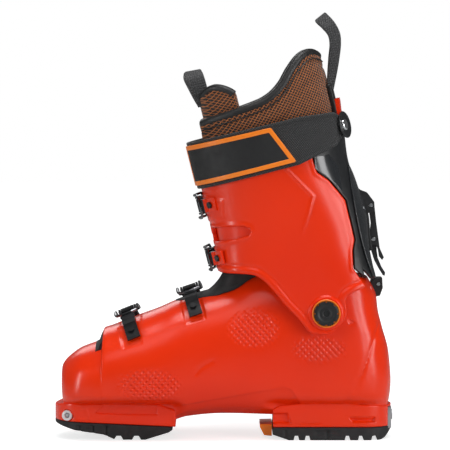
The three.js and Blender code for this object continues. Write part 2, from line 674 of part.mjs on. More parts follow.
function makeBuckle({ name, crown, lift, rackEnd, leverLength }) {
  const rackHole = makeRivet(crown, -rackEnd + 6, lift, `${name}_rack_rivet`);
  const teeth = (t) => lift + PLATE + (t < 0.55 ? 2.4 - (Math.round(t * 16) % 2) * 1.3 : 0);
  const rack = onCrown(crown, strip(crown, -9, -rackEnd, lift, teeth, 16), -RACK_HALF, RACK_HALF);
  add(`${name}_rack`, BLACK, rack.subtract(rackHole));

  const [hy, hw] = aboveCrown(crown, HINGE_SIDE, lift + HINGE_RISE);
  const pinHole = onCrown(crown, round(hy, hw, PIN_RADIUS + PIN_PLAY), -30, 30);
  add(`${name}_buckle_base`, BLACK, makeBuckleBase(crown, lift, pinHole));
  const pin = onCrown(crown, round(hy, hw, PIN_RADIUS), -EAR_OUTER - 0.5, EAR_OUTER + 0.5);
  add(`${name}_buckle_pin`, STEEL, pin);

  const [by, bw] = aboveCrown(crown, HINGE_SIDE + BAIL_ARM, lift + PLATE + 3.6);
  const seat = lift + PLATE + GAP;
  const under = (t) => seat + 0.2 + 1.5 * (1 - t);
  const crest = (t) => seat + LEVER_THICK + 3.4 * (1 - t) ** 2;
  const arm = strip(crown, HINGE_SIDE, HINGE_SIDE + leverLength * 0.8, under, crest, 7);
  const lever = onCrown(crown, arm, -LEVER_HALF, LEVER_HALF)
    .add(onCrown(crown, round(hy, hw, 3.1), -LEVER_HALF, LEVER_HALF))
    .subtract(pinHole)
    .subtract(onCrown(crown, round(by, bw, WIRE + PIN_PLAY), -30, 30));
  add(`${name}_lever`, BLACK, largestPart(lever));
  add(`${name}_bail`, CHROME, makeBail(crown, lift, by, bw));
  return { hinge: crownPoint(crown, 0, hy, hw), bail: crownPoint(crown, 0, by, bw), axis: crown.along };
}

// ---------------------------------------------------------------- pivots, tech fittings, heel parts
const RING_RADIUS = 12.6;
const DIAL_RADIUS = 11;

function makePivot(side, name) {
  const turned = (y0, y1, radius, sides = 20) => crossRod(0, PIVOT_Z, side * y0, side * y1, radius, sides);
  const ring = turned(53.3, 55.4, RING_RADIUS, 24)
    .subtract(turned(54.3, 57, DIAL_RADIUS + GAP, 24))
    .subtract(turned(50, 57, PIVOT_BORE));
  add(`${name}_pivot_ring`, ORANGE, ring);
  let bolt = turned(54.6, 57.6, DIAL_RADIUS, 24).add(turned(36.2, 55, PIVOT_BORE - GAP, 14));
  for (let i = 0; i < 6; i += 1) {
    const angle = (i * Math.PI) / 3;
    const x = 11.3 * Math.cos(angle);
    const z = PIVOT_Z + 11.3 * Math.sin(angle);
    bolt = bolt.subtract(crossRod(x, z, side * 56, side * 60, 1.6, 10));
  }
  add(`${name}_pivot_bolt`, BLACK, bolt.subtract(turned(54, 60, 3, 6)));
  const nut = turned(NUT_FACE - NUT_DEPTH, NUT_FACE, 9.5, 16).subtract(turned(30, 50, PIVOT_BORE));
  add(`${name}_pivot_nut`, STEEL, nut);
}

const TOE_INSERT_HALF = 27.2;

function toeInsert() {
  const [x, z] = TOE_INSERT;
  let bar = crossRod(x, z, -TOE_INSERT_HALF, TOE_INSERT_HALF, 4.5, 20);
  for (const side of [-1, 1]) {
    const cone = new THREE.ConeGeometry(2.6, 4, 14);
    cone.rotateX(side > 0 ? -Math.PI / 2 : Math.PI / 2);
    cone.translate(x, side * (TOE_INSERT_HALF - 1.5), z);
    bar = bar.subtract(toSolid(cone));
  }
  return bar;
}

function heelInsert() {
  let plate = block(HEEL_X - 6.4, HEEL_X - 0.3, -17, 17, 9.5, 28.5);
  for (const side of [-1, 1]) {
    plate = plate.subtract(block(HEEL_X - 3, HEEL_X + 1, side * 11 - 3.2, side * 11 + 3.2, 5, 23));
  }
  return plate.subtract(alongX(HEEL_X - 10, HEEL_X + 4, HEEL_INSERT_Z, 2.4, 12));
}

const heelScrew = () => alongX(HEEL_X - 15.5, HEEL_X + 0.1, HEEL_INSERT_Z, 2, 12)
  .add(alongX(HEEL_X, HEEL_X + 1.4, HEEL_INSERT_Z, 4.6, 18))
  .subtract(alongX(HEEL_X + 0.3, HEEL_X + 4, HEEL_INSERT_Z, 2, 6));

// ---------------------------------------------------------------- walk mechanism
const pinHoleAt = (pin) => crossRod(...pin, -30, 30, PIN_RADIUS + GAP, 14);

function walkBracket() {
  const foot = sideSolid([[27, 229.5], [33, 224], [38.5, 222], [44.5, 214], [45, 207], [41, 204], [36, 204],
    [30, 216]], -13, 13);
  const room = block(36.5, 60, -8.6, 8.6, 150, 218.5);
  return largestPart(foot.subtract(room).subtract(legForm(-0.6, 40, 172)).subtract(pinHoleAt(LEVER_PIN)));
}

const ARM_INNER = 4.4;

function walkLever() {
  const shape = [[38.8, 213.4], [44, 213.6], [45.2, 208], [46.6, 195], [48.4, 182], [49.8, 172],
    [53.6, 163.5], [52, 161], [49.8, 163.5], [48.8, 170], [46.8, 174.5], [41.6, 175], [41.2, 184],
    [42.2, 194], [40.6, 205], [38.6, 209]];
  return largestPart(sideSolid(shape, -8, 8).subtract(pinHoleAt(LEVER_PIN)).subtract(pinHoleAt(BAR_PIN))
    .subtract(block(30, 60, -ARM_INNER, ARM_INNER, 168, 200)));
}

function lockBar() {
  const shape = [[41.8, 183.5], [46.6, 183.5], [47, 178], [47.2, 170], [48.2, 163], [51.5, 155],
    [55, 149.5],
    [54.6, 146.6], [53, 146.9], [49.4, 152.6], [45.4, 160], [42.8, 168], [41.6, 176]];
  return largestPart(sideSolid(shape, 0.5 - ARM_INNER, ARM_INNER - 0.5).subtract(pinHoleAt(BAR_PIN)));
}

// ---------------------------------------------------------------- strap fixings and pull loops
const WASHER_SIDE = 24;
const WASHER_HEIGHT = 158.7;

function strapRivet(side) {
  const [, , rear, half, power] = legValues(WASHER_HEIGHT);
  const reach = rear - LEG_WIDEST;
  const along = reach * (1 - (WASHER_SIDE / half) ** power) ** (1 / power);
  const slope = [along ** (power - 1) / reach ** power, WASHER_SIDE ** (power - 1) / half ** power];
  const size = Math.hypot(...slope);
  const at = (depth) => {
    const [x, z] = shaft(LEG_WIDEST + along + (slope[0] / size) * depth, WASHER_HEIGHT);
    return vec(x, side * (WASHER_SIDE + (slope[1] / size) * depth), z);
  };
  holes.push(rod(at(-12), at(8), 2 + GAP, 12));
  return rod(at(-5), at(4.6), 2, 12).add(rod(at(4.4), at(5.6), 11.5, 20)).add(rod(at(5.5), at(6.8), 5, 14));
}

function rearTab() {
  const low = SPINE_TOP + 0.5;
  const layer = legForm(0.4, 160, 190, 3).subtract(legForm(3.6, 158, 192, 3));
  return largestPart(layer.intersect(shaftSolid([[20, low], [90, low], [90, 183], [20, 183]], -16, 16)));
}

// A pull loop: two legs of webbing side by side, joined over the top.
function pullLoop(outline, half, thick, underTop) {
  return sideSolid(outline, -half, half).subtract(sideSolid(underTop, thick - half, half - thick));
}

const LOOP_THICK = 1.8;

const frontLoop = () => pullLoop(
  [[-102, 303], [-114.5, 298], [-117.5, 303], [-128.5, 325], [-126, 331.5], [-112, 334.5], [-107, 322]],
  11,
  LOOP_THICK,
  [[-60, 290], [-150, 290], [-150, 324], [-127, 326], [-113, 331], [-60, 331]],
).subtract(tongueRoom());

const rearLoop = () => pullLoop(
  [[2.6, 318], [8.5, 318], [13.9, 352], [13.4, 364], [8, 376], [1, 385], [-3, 386.5], [-9.7, 377],
    [0, 368], [4, 358], [3.6, 345]],
  14,
  LOOP_THICK,
  [[-20, 300], [30, 300], [30, 376], [-2, 382], [-12, 372]],
).subtract(legForm(7.4, 150, 240));

// Space taken by the tongue, with a little air around it.
const tongueRoom = () => legForm(15.2, 60, 232, 6, 15.9);

// ---------------------------------------------------------------- build: shell body
for (const buckle of BUCKLES) {
  const made = makeBuckle(buckle);
  boot.userData[buckle.name] = { hinge: made.hinge.toArray(), bail: made.bail.toArray(), axis: made.axis };
}
add('lower_shell', RED, lowerShell());
add('toe_sole', RUBBER, toeSole());
add('heel_sole', RUBBER, heelSole());
const HEEL_WEDGE = [[-59, 13.2], [-55, 3.3], [-47.8, 2.6], [-47.8, 13.6]];
add('heel_wedge', ORANGE, sideSolid(HEEL_WEDGE, -22, 22));
add('toe_insert', STEEL, toeInsert());
add('heel_insert', STEEL, heelInsert());
add('heel_insert_screw', STEEL, heelScrew());
add('boot_board', FOAM, bootBoard());
add('insole', FOAM, insole());
add('liner_foot', LINER, linerFoot());
add('throat_gaiter', RUBBER, throatGaiter());
add('lock_strike', BLACK, strikePlate().subtract(pinHoleAt(STRIKE_PIN)));
add('lock_strike_pin', CHROME, crossRod(...STRIKE_PIN, -11.4, 11.4, PIN_RADIUS, 12));
makePivot(-1, 'medial');
makePivot(1, 'lateral');

// ---------------------------------------------------------------- build: cuff body
add('medial_strap_rivet', CHROME, strapRivet(-1));
add('lateral_strap_rivet', CHROME, strapRivet(1));
add('cuff_shell', RED, cuffShell());
add('cuff_flap', RED, largestPart(frontOverlap()));
add('spine', BLACK, spine());
add('liner_cuff', LINER, linerCuff());
add('liner_tongue', LINER, linerTongue());
add('power_strap', WEBBING, drilled(largestPart(band(STRAP_OUTLINE, 0.6, 3))));
const medialHalf = block(-200, 100, -THROUGH, -6, 200, 320);
add('strap_patch', BLACK, largestPart(band(PATCH_OUTLINE, 3.4, 4.8).intersect(medialHalf)));
add('walk_bracket', BLACK, walkBracket());
add('walk_lever', BLACK, walkLever());
add('walk_lever_pin', STEEL, crossRod(...LEVER_PIN, -13.4, 13.4, PIN_RADIUS, 12));
add('lock_bar_pin', STEEL, crossRod(...BAR_PIN, -8.4, 8.4, PIN_RADIUS, 12));
add('front_loop', WEBBING, largestPart(frontLoop()));
add('rear_loop', WEBBING, largestPart(rearLoop()));
add('rear_tab', RED, rearTab());
add('lock_bar', STEEL, lockBar());

export default boot;
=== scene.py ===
"""Looks of the alpine touring boot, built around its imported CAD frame.

Lengths are millimetres until a mesh is made. The toe points along -x, the buckle levers are on +y.
"""
import json
import math
import bpy
import bmesh
import numpy as np
from mathutils import Vector
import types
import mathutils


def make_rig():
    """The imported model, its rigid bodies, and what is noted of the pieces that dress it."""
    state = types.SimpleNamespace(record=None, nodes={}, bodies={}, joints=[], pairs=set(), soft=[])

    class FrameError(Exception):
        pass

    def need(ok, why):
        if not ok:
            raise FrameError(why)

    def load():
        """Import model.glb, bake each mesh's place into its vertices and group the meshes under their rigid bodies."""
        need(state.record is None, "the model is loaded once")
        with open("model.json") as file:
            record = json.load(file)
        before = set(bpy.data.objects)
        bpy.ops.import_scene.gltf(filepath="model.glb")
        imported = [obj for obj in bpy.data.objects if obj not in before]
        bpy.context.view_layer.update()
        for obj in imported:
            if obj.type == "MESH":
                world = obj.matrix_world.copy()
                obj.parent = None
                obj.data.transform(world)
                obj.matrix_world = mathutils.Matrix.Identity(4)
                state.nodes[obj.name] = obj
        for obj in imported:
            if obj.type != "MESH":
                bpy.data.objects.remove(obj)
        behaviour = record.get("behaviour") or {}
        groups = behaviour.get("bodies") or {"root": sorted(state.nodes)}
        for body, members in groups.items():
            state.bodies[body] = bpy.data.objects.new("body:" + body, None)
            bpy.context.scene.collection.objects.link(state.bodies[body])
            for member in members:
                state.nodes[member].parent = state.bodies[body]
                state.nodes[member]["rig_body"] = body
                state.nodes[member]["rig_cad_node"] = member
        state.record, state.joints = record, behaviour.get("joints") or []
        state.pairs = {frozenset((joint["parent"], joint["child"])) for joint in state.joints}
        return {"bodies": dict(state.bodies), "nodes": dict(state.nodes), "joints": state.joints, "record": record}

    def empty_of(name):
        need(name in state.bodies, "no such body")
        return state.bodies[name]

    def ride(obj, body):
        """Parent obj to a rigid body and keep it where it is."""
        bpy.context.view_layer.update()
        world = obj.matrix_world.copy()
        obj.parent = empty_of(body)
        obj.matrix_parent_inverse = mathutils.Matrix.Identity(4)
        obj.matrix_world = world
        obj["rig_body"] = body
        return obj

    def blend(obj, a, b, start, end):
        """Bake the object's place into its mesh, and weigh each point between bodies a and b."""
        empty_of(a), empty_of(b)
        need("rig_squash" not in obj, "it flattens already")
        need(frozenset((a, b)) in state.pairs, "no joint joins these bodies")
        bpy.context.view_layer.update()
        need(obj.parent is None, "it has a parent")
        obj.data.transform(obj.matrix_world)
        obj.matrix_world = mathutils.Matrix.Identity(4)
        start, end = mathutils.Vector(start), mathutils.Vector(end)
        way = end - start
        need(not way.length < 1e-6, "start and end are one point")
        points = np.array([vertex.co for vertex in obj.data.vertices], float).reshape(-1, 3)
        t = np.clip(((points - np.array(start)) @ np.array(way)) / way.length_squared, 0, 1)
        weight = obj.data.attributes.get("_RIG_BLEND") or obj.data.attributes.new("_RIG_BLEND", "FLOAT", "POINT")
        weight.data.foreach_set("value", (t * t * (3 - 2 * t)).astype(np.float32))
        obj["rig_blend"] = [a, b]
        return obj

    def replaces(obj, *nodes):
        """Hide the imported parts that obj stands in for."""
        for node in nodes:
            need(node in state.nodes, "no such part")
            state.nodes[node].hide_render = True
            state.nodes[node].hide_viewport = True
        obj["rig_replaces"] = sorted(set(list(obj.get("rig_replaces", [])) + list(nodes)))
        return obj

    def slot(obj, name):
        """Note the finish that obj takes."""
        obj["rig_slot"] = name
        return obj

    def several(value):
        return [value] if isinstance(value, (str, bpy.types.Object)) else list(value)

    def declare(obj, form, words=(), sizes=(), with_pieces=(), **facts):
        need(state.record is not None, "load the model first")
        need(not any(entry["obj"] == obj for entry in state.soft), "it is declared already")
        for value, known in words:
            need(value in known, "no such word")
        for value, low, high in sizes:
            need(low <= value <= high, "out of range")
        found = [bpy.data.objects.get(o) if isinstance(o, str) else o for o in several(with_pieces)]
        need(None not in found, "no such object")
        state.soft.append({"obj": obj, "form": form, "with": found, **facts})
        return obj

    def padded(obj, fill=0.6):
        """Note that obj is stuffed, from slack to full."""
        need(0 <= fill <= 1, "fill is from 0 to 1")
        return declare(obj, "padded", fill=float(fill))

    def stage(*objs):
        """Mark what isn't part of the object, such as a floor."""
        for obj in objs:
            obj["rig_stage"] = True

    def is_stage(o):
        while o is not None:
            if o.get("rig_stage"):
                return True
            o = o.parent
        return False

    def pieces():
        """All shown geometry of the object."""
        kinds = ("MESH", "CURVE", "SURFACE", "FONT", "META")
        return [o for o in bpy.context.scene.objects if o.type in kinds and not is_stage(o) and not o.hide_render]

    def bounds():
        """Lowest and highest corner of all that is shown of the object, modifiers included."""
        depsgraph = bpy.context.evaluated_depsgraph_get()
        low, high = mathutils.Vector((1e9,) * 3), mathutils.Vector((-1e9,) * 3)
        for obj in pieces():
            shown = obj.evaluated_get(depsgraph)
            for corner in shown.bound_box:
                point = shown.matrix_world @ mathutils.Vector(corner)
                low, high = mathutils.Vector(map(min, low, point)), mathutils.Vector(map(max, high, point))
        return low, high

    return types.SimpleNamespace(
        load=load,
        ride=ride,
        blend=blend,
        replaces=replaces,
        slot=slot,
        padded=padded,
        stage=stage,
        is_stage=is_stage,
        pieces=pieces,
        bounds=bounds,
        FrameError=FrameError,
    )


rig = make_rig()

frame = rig.load()
CAD_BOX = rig.bounds()
MM = 0.001

# ---------------------------------------------------------------- driving dimensions
PIVOT_Z = 116.2
LEAN = math.radians(14)
TOE_X = -244.6
HEEL_X = 60.4
SHELL_WALL = 4.5
CUFF_WALL = 4.0
FOOT_WIDEST = 0.42
LEG_WIDEST = -8.0
UP = np.array([-math.sin(LEAN), math.cos(LEAN)])
BACK = np.array([math.cos(LEAN), math.sin(LEAN)])

# Slices through the foot, toe to heel: bottom x, bottom z, top x, top z, half width,
# roundness of the upper half, roundness of the lower half.
FOOT_SECTIONS = np.array([
    [-238.2, 42, -238.4, 60, 13, 2.0, 2.0],
    [-237.4, 34, -238, 64.5, 22, 2.1, 2.2],
    [-235, 26, -235, 70, 31, 2.3, 2.6],
    [-229, 20, -229, 75.5, 39.5, 2.4, 2.8],
    [-221, 18, -221, 81, 45.5, 2.5, 2.9],
    [-207, 17.3, -207, 86.3, 50.3, 2.5, 2.9],
    [-201.4, 17, -201.4, 88.6, 51.3, 2.5, 2.9],
    [-200.2, 17, -200.2, 98.2, 51.5, 2.5, 2.9],
    [-190, 16.6, -191, 102, 52.7, 2.5, 2.9],
    [-165, 16, -169, 110.6, 53.8, 2.5, 2.9],
    [-140, 16, -149, 118, 52.3, 2.5, 2.9],
    [-124, 19.5, -137, 123.3, 50.3, 2.5, 2.8],
    [-92, 22, -112, 131.5, 46.8, 2.5, 2.8],
    [-45, 21, -86, 138.5, 44.8, 2.6, 3.2],
    [0, 15, -72, 148, 44.2, 2.7, 3.8],
    [42, 15, -64, 152, 44.2, 2.8, 3.8],
    [57, 30, -60, 153.5, 44.2, 2.8, 3.4],
    [60, 52, -57, 154.5, 44.2, 2.8, 3.0],
    [58, 78, -55, 155, 44.2, 2.8, 2.8],
    [52, 101, -53, 155.5, 44.2, 2.8, 2.8],
    [48.3, 116, -51, 156, 44.2, 2.8, 2.8],
    [46.5, 130, -50, 156.5, 43.7, 2.8, 2.8],
    [39, 145.5, -49, 157, 43.2, 2.8, 2.8]])
# Slices across the leg: height up the shaft, front reach, rear reach, half width, roundness.
LEG_SECTIONS = np.array([
    [-32, -84, 51, 51, 4.2], [20, -84, 52, 51, 4.0], [48, -85, 53, 51.3, 3.4], [76, -83, 57, 52, 2.9],
    [100, -82, 56, 53, 2.6], [125, -82, 53.5, 54, 2.4], [150, -82, 56, 54.5, 2.3], [180, -82, 60, 54.5, 2.3],
    [245, -82, 60, 54.5, 2.3]])
LUG_HALF = 33
LUG_TOP = 33.4
SOLE_SLOPE = 0.0469
BOARD_RUN = 305
TOE_PIN = (TOE_X + 12, 22)


# ---------------------------------------------------------------- numbers
def smooth(low, high, value):
    t = np.clip((value - low) / (high - low), 0, 1)
    return t * t * (3 - 2 * t)


def monotone(knots, rows, at):
    """Smooth curve through rows of values that never swings past them."""
    h = np.diff(knots)[:, None]
    step = np.diff(rows, axis=0) / h
    slope = np.zeros_like(rows)
    same = step[:-1] * step[1:] > 0
    mean = 2 * step[:-1] * step[1:] / np.where(same, step[:-1] + step[1:], 1)
    slope[1:-1] = np.where(same, mean, 0)
    slope[0], slope[-1] = step[0], step[-1]
    i = np.clip(np.searchsorted(knots, at) - 1, 0, len(knots) - 2)
    w = (at - knots[i]) / h[i, 0]
    w = w[:, None]
    a = rows[i] * (1 + 2 * w) * (1 - w) ** 2 + slope[i] * h[i] * w * (1 - w) ** 2
    return a + rows[i + 1] * w * w * (3 - 2 * w) - slope[i + 1] * h[i] * w * w * (1 - w)


def oval(angle, high, low, half, power_high, power_low):
    c, s = np.cos(angle), np.sin(angle)
    power = np.where(c > 0, power_high, power_low)
    along = np.sign(c) * np.abs(c) ** (2 / power) * np.where(c > 0, high, low)
    across = np.sign(s) * np.abs(s) ** (2 / power) * half
    return along, across


def even_angles(count, power=2.6):
    """Angles that step evenly round an oval of that roundness, so no stretch of it is coarse."""
    fine = np.linspace(0, 2 * math.pi, 4001)
    along, across = oval(fine, 1.0, 1.0, 0.8, power, power)
    length = np.concatenate([[0], np.cumsum(np.hypot(np.diff(along), np.diff(across)))])
    return np.interp(np.linspace(0, length[-1], count + 1)[:-1], length, fine)


def curve_points(points, count=12):
    """Catmull-Rom curve through plan or side points, as a dense list."""
    p = np.array(points, float)
    ext = np.vstack([2 * p[0] - p[1], p, 2 * p[-1] - p[-2]])
    out = []
    for i in range(1, len(ext) - 2):
        a, b, c, d = ext[i - 1], ext[i], ext[i + 1], ext[i + 2]
        for t in np.linspace(0, 1, count, endpoint=False):
            out.append(0.5 * (2 * b + (c - a) * t + (2 * a - 5 * b + 4 * c - d) * t * t
                              + (3 * b - a - 3 * c + d) * t ** 3))
    out.append(p[-1])
    return np.array(out)


def line_distance(points, line):
    """Distance of 2-D points from a polyline."""
    best = np.full(len(points), 1e9)
    line = np.asarray(line, float)
    for a, b in zip(line[:-1], line[1:]):
        d = b - a
        t = np.clip(((points - a) @ d) / max(d @ d, 1e-9), 0, 1)
        best = np.minimum(best, np.hypot(*(points - a - t[:, None] * d).T))
    return best


def inside_distance(points, outline):
    """Distance of 2-D points from a closed outline, positive inside it."""
    ring = np.vstack([outline, outline[:1]])
    inside = np.zeros(len(points), bool)
    x, y = points.T
    for (ax, ay), (bx, by) in zip(ring[:-1], ring[1:]):
        crosses = (ay > y) != (by > y)
        inside ^= crosses & (x < (bx - ax) * (y - ay) / (by - ay if by != ay else 1e-9) + ax)
    return np.where(inside, 1, -1) * line_distance(points, ring)


def to_shaft(co):
    x, z = co[:, 0], co[:, 2] - PIVOT_Z
    return np.column_stack([x * BACK[0] + z * BACK[1], x * UP[0] + z * UP[1]])


def from_shaft(r, s):
    return BACK[0] * r + UP[0] * s, PIVOT_Z + BACK[1] * r + UP[1] * s


# ---------------------------------------------------------------- surfaces
def lug_end(start, handle, end, narrowing):
    """Plan curve of the round end of a lug: x and half width from the full width to the tip."""
    t = np.linspace(0, 1, 60)
    first, second, third = (1 - t) ** 3, 3 * (1 - t) ** 2 * t, 3 * (1 - t) * t * t
    return (first * start + second * handle + third * end + t ** 3 * end,
            first * LUG_HALF + second * LUG_HALF + third * (LUG_HALF - narrowing))


TOE_END = [line[::-1] for line in lug_end(TOE_X + 30, TOE_X + 12, TOE_X, 12)]
HEEL_END = lug_end(HEEL_X - 26, HEEL_X - 9, HEEL_X, 14)


def toe_half(x):
    return np.interp(x, *TOE_END)


def heel_half(x):
    return np.interp(x, *HEEL_END)


def sole_top(x):
    """Height of the plane between the toe lug and its rubber."""
    return 17.0 - SOLE_SLOPE * (x - TOE_X)


def board_top(x):
    """Height of the ramp under the liner's foot."""
    return 30 + 6 * (x - TOE_X) / BOARD_RUN


def tucked(x, y, z, inset):
    """Over each sole block the shell turns in above the lug, so that the lug stands proud of it."""
    share = np.maximum(smooth(124, 140, -x), smooth(-58, -44, x))
    depth = np.clip((LUG_TOP + inset + 9 - z) / 9, 0, 1)
    narrow = np.minimum(toe_half(x), heel_half(x)) - 1.0 - inset
    wide = np.abs(y)
    allowed = narrow + (wide - narrow) * np.sqrt(1 - depth ** 2)
    return np.where(wide <= narrow, y, np.sign(y) * (wide + (allowed - wide) * share))


def foot_point_rows(at, angles, inset=0.0, floor=None):
    """Rings of points round the foot at section numbers, moved in by an inset and by floor at the bottom."""
    knots = np.arange(len(FOOT_SECTIONS), dtype=float)
    row = monotone(knots, FOOT_SECTIONS, np.asarray(at, float))
    floor = inset if floor is None else floor
    bottom, top = row[:, 0:2], row[:, 2:4]
    length = np.linalg.norm(top - bottom, axis=1)[:, None]
    up = (top - bottom) / length
    middle = bottom + up * FOOT_WIDEST * length
    along, across = oval(angles[None, :], (1 - FOOT_WIDEST) * length - inset, FOOT_WIDEST * length - floor,
                         row[:, 4:5] - inset, row[:, 5:6], row[:, 6:7])
    x = middle[:, 0:1] + up[:, 0:1] * along
    z = middle[:, 1:2] + up[:, 1:2] * along
    return np.stack([x, tucked(x, across, z, inset), z], axis=2)


def section_steps(first, counts):
    """Section numbers from the first on, with so many even steps in each gap."""
    return [at for k, count in enumerate(counts, first)
            for at in np.linspace(k, k + 1, count, endpoint=False)]


def closed_nose(rows, shares):
    """The rings with smaller copies of the first one ahead of it, which close that end."""
    middle = rows[0].mean(axis=0)
    return np.concatenate([[middle + (rows[0] - middle) * t for t in shares], rows])


def leg_values(s):
    return monotone(LEG_SECTIONS[:, 0].copy(), LEG_SECTIONS, np.asarray(s, float))


def leg_point_rows(heights, angles, inset=0.0):
    """Rings of points round the leg at heights up the shaft, moved in by an inset."""
    row = leg_values(heights)
    rear = (row[:, 2] - inset - LEG_WIDEST)[:, None]
    front = (LEG_WIDEST - row[:, 1] - inset)[:, None]
    power = row[:, 4:5]
    along, across = oval(angles[None, :], rear, front, row[:, 3:4] - inset, power, power)
    x, z = from_shaft(LEG_WIDEST + along, np.asarray(heights, float)[:, None])
    return np.stack([x, across, z], axis=2)


def pivot_reach(co):
    """Distance of points from the ankle axis."""
    return np.hypot(co[:, 0], co[:, 2] - PIVOT_Z)


# ---------------------------------------------------------------- meshes
class Skin:
    """Points and outward faces: an open skin, or the solid that thicken makes of it."""

    def __init__(self, co, faces):
        self.co = np.asarray(co, float)
        self.faces = faces

    def __iter__(self):
        return iter((self.co, self.faces))

    @staticmethod
    def grid(rows, wrap=True, flip=False):
        n, m = rows.shape[:2]
        faces = []
        for i in range(n - 1):
            for j in range(m if wrap else m - 1):
                a, b = i * m + j, i * m + (j + 1) % m
                faces.append((a, b, b + m, a + m) if flip else (a, a + m, b + m, b))
        return Skin(rows.reshape(-1, 3), faces)

    def normals(self):
        total = np.zeros_like(self.co)
        quads = np.array([f for f in self.faces if len(f) == 4], int)
        others = [f for f in self.faces if len(f) != 4]
        tris = [quads[:, [0, 1, 2]], quads[:, [0, 2, 3]]] if len(quads) else []
        fans = [(f[0], f[k], f[k + 1]) for f in others for k in range(1, len(f) - 1)]
        if fans:
            tris.append(np.array(fans, int))
        tris = np.vstack(tris)
        p = self.co[tris]
        n = np.cross(p[:, 1] - p[:, 0], p[:, 2] - p[:, 0])
        for k in range(3):
            np.add.at(total, tris[:, k], n)
        return total / np.maximum(np.linalg.norm(total, axis=1), 1e-12)[:, None]

    def clip(self, value):
        """Keeps the part of the skin where value, one number for each point, is positive."""
        keep, cut = {}, {}
        co, faces = [], []

        def old(i):
            if i not in keep:
                keep[i] = len(co)
                co.append(self.co[i])
            return keep[i]

        def new(i, j):
            key = (min(i, j), max(i, j))
            if key not in cut:
                a, b = key
                t = value[a] / (value[a] - value[b])
                cut[key] = len(co)
                co.append(self.co[a] + (self.co[b] - self.co[a]) * t)
            return cut[key]

        positive = value > 0
        for f in self.faces:
            signs = [positive[i] for i in f]
            if all(signs):
                faces.append(tuple(old(i) for i in f))
            elif any(signs):
                part = []
                for k, i in enumerate(f):
                    j = f[(k + 1) % len(f)]
                    if positive[i]:
                        part.append(old(i))
                    if positive[i] != positive[j]:
                        part.append(new(i, j))
                if len(part) > 2:
                    faces.append(tuple(part))
        return Skin(co, faces)

    def boundary(self):
        """Directed edges that have a face on one side only."""
        seen = dict.fromkeys((a, b) for f in self.faces for a, b in zip(f, f[1:] + f[:1]))
        return [(a, b) for (a, b) in seen if (b, a) not in seen]

    def thicken(self, depth, round_edge, steps=4):
        """Closed solid: this skin, its copy at a depth inside, and a rounded rim between them.

        The first points of the solid, as many as outer says, are those of the skin.
        """
        n = self.normals()
        edges = self.boundary()
        out = np.zeros_like(self.co)
        for a, b in edges:
            d = np.cross(self.co[b] - self.co[a], n[a] + n[b])
            size = np.linalg.norm(d)
            if size > 1e-9:
                out[a] += d / size
                out[b] += d / size
        out /= np.maximum(np.linalg.norm(out, axis=1), 1e-9)[:, None]
        count = len(self.co)
        inner = self.co - n * depth
        rim = sorted({i for e in edges for i in e})
        rows = [{i: i for i in rim}]
        co = [self.co, inner]
        start = 2 * count
        levels = [(round_edge * math.sin(t), round_edge * (1 - math.cos(t)))
                  for t in np.linspace(0, math.pi / 2, steps + 1)[1:]]
        levels = [(reach, self.co - n * drop) for reach, drop in levels] + \
                 [(reach, inner + n * drop) for reach, drop in levels[::-1]]
        for reach, base in levels:
            co.append(base[rim] + out[rim] * reach)
            rows.append({i: start + k for k, i in enumerate(rim)})
            start += len(rim)
        rows.append({i: i + count for i in rim})
        faces = list(self.faces)
        faces += [tuple(i + count for i in reversed(f)) for f in self.faces]
        for upper, lower in zip(rows[:-1], rows[1:]):
            faces += [(upper[b], upper[a], lower[a], lower[b]) for a, b in edges]
        solid = Skin(np.vstack(co), faces)
        solid.outer = count
        return solid


def make_object(name, co, faces, material, shade=None):
    """Mesh object in the scene. shade is the angle in degrees from which edges stay sharp."""
    mesh = bpy.data.meshes.new(name)
    mesh.from_pydata((np.asarray(co) * MM).tolist(), [], [list(f) for f in faces])
    mesh.validate()
    mesh.polygons.foreach_set("use_smooth", [True] * len(mesh.polygons))
    obj = bpy.data.objects.new(name, mesh)
    bpy.context.scene.collection.objects.link(obj)
    mesh.materials.append(material)
    if shade:
        mesh.set_sharp_from_angle(angle=math.radians(shade))
    return obj



def coordinates(obj):
    co = np.zeros(len(obj.data.vertices) * 3, np.float32)
    obj.data.vertices.foreach_get("co", co)
    return co.reshape(-1, 3).astype(float) / MM


def set_coordinates(obj, co):
    obj.data.vertices.foreach_set("co", (np.asarray(co) * MM).astype(np.float32).ravel())
    obj.data.update()


def vertex_normals(obj):
    n = np.zeros(len(obj.data.vertices) * 3, np.float32)
    obj.data.vertices.foreach_get("normal", n)
    return n.reshape(-1, 3).astype(float)


def refine(obj, mask, cuts):
    """Splits the edges with both ends in the mask, so that small relief has points to stand on."""
    bm = bmesh.new()
    bm.from_mesh(obj.data)
    bm.verts.ensure_lookup_table()
    edges = [e for e in bm.edges if mask[e.verts[0].index] and mask[e.verts[1].index]]
    bmesh.ops.subdivide_edges(bm, edges=edges, cuts=cuts, use_grid_fill=True)
    bm.to_mesh(obj.data)
    bm.free()


def relief(obj, height):
    """Moves points along their normals by height(co, normals) millimetres."""
    co, n = coordinates(obj), vertex_normals(obj)
    set_coordinates(obj, co + n * height(co, n)[:, None])


def place(obj, body, slot, *nodes):
    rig.ride(obj, body)
    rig.slot(obj, slot)
    if nodes:
        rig.replaces(obj, *nodes)
    return obj


# ---------------------------------------------------------------- shared shapes
BEVEL_FROM = math.radians(32)
CORNER_GAP = 0.12


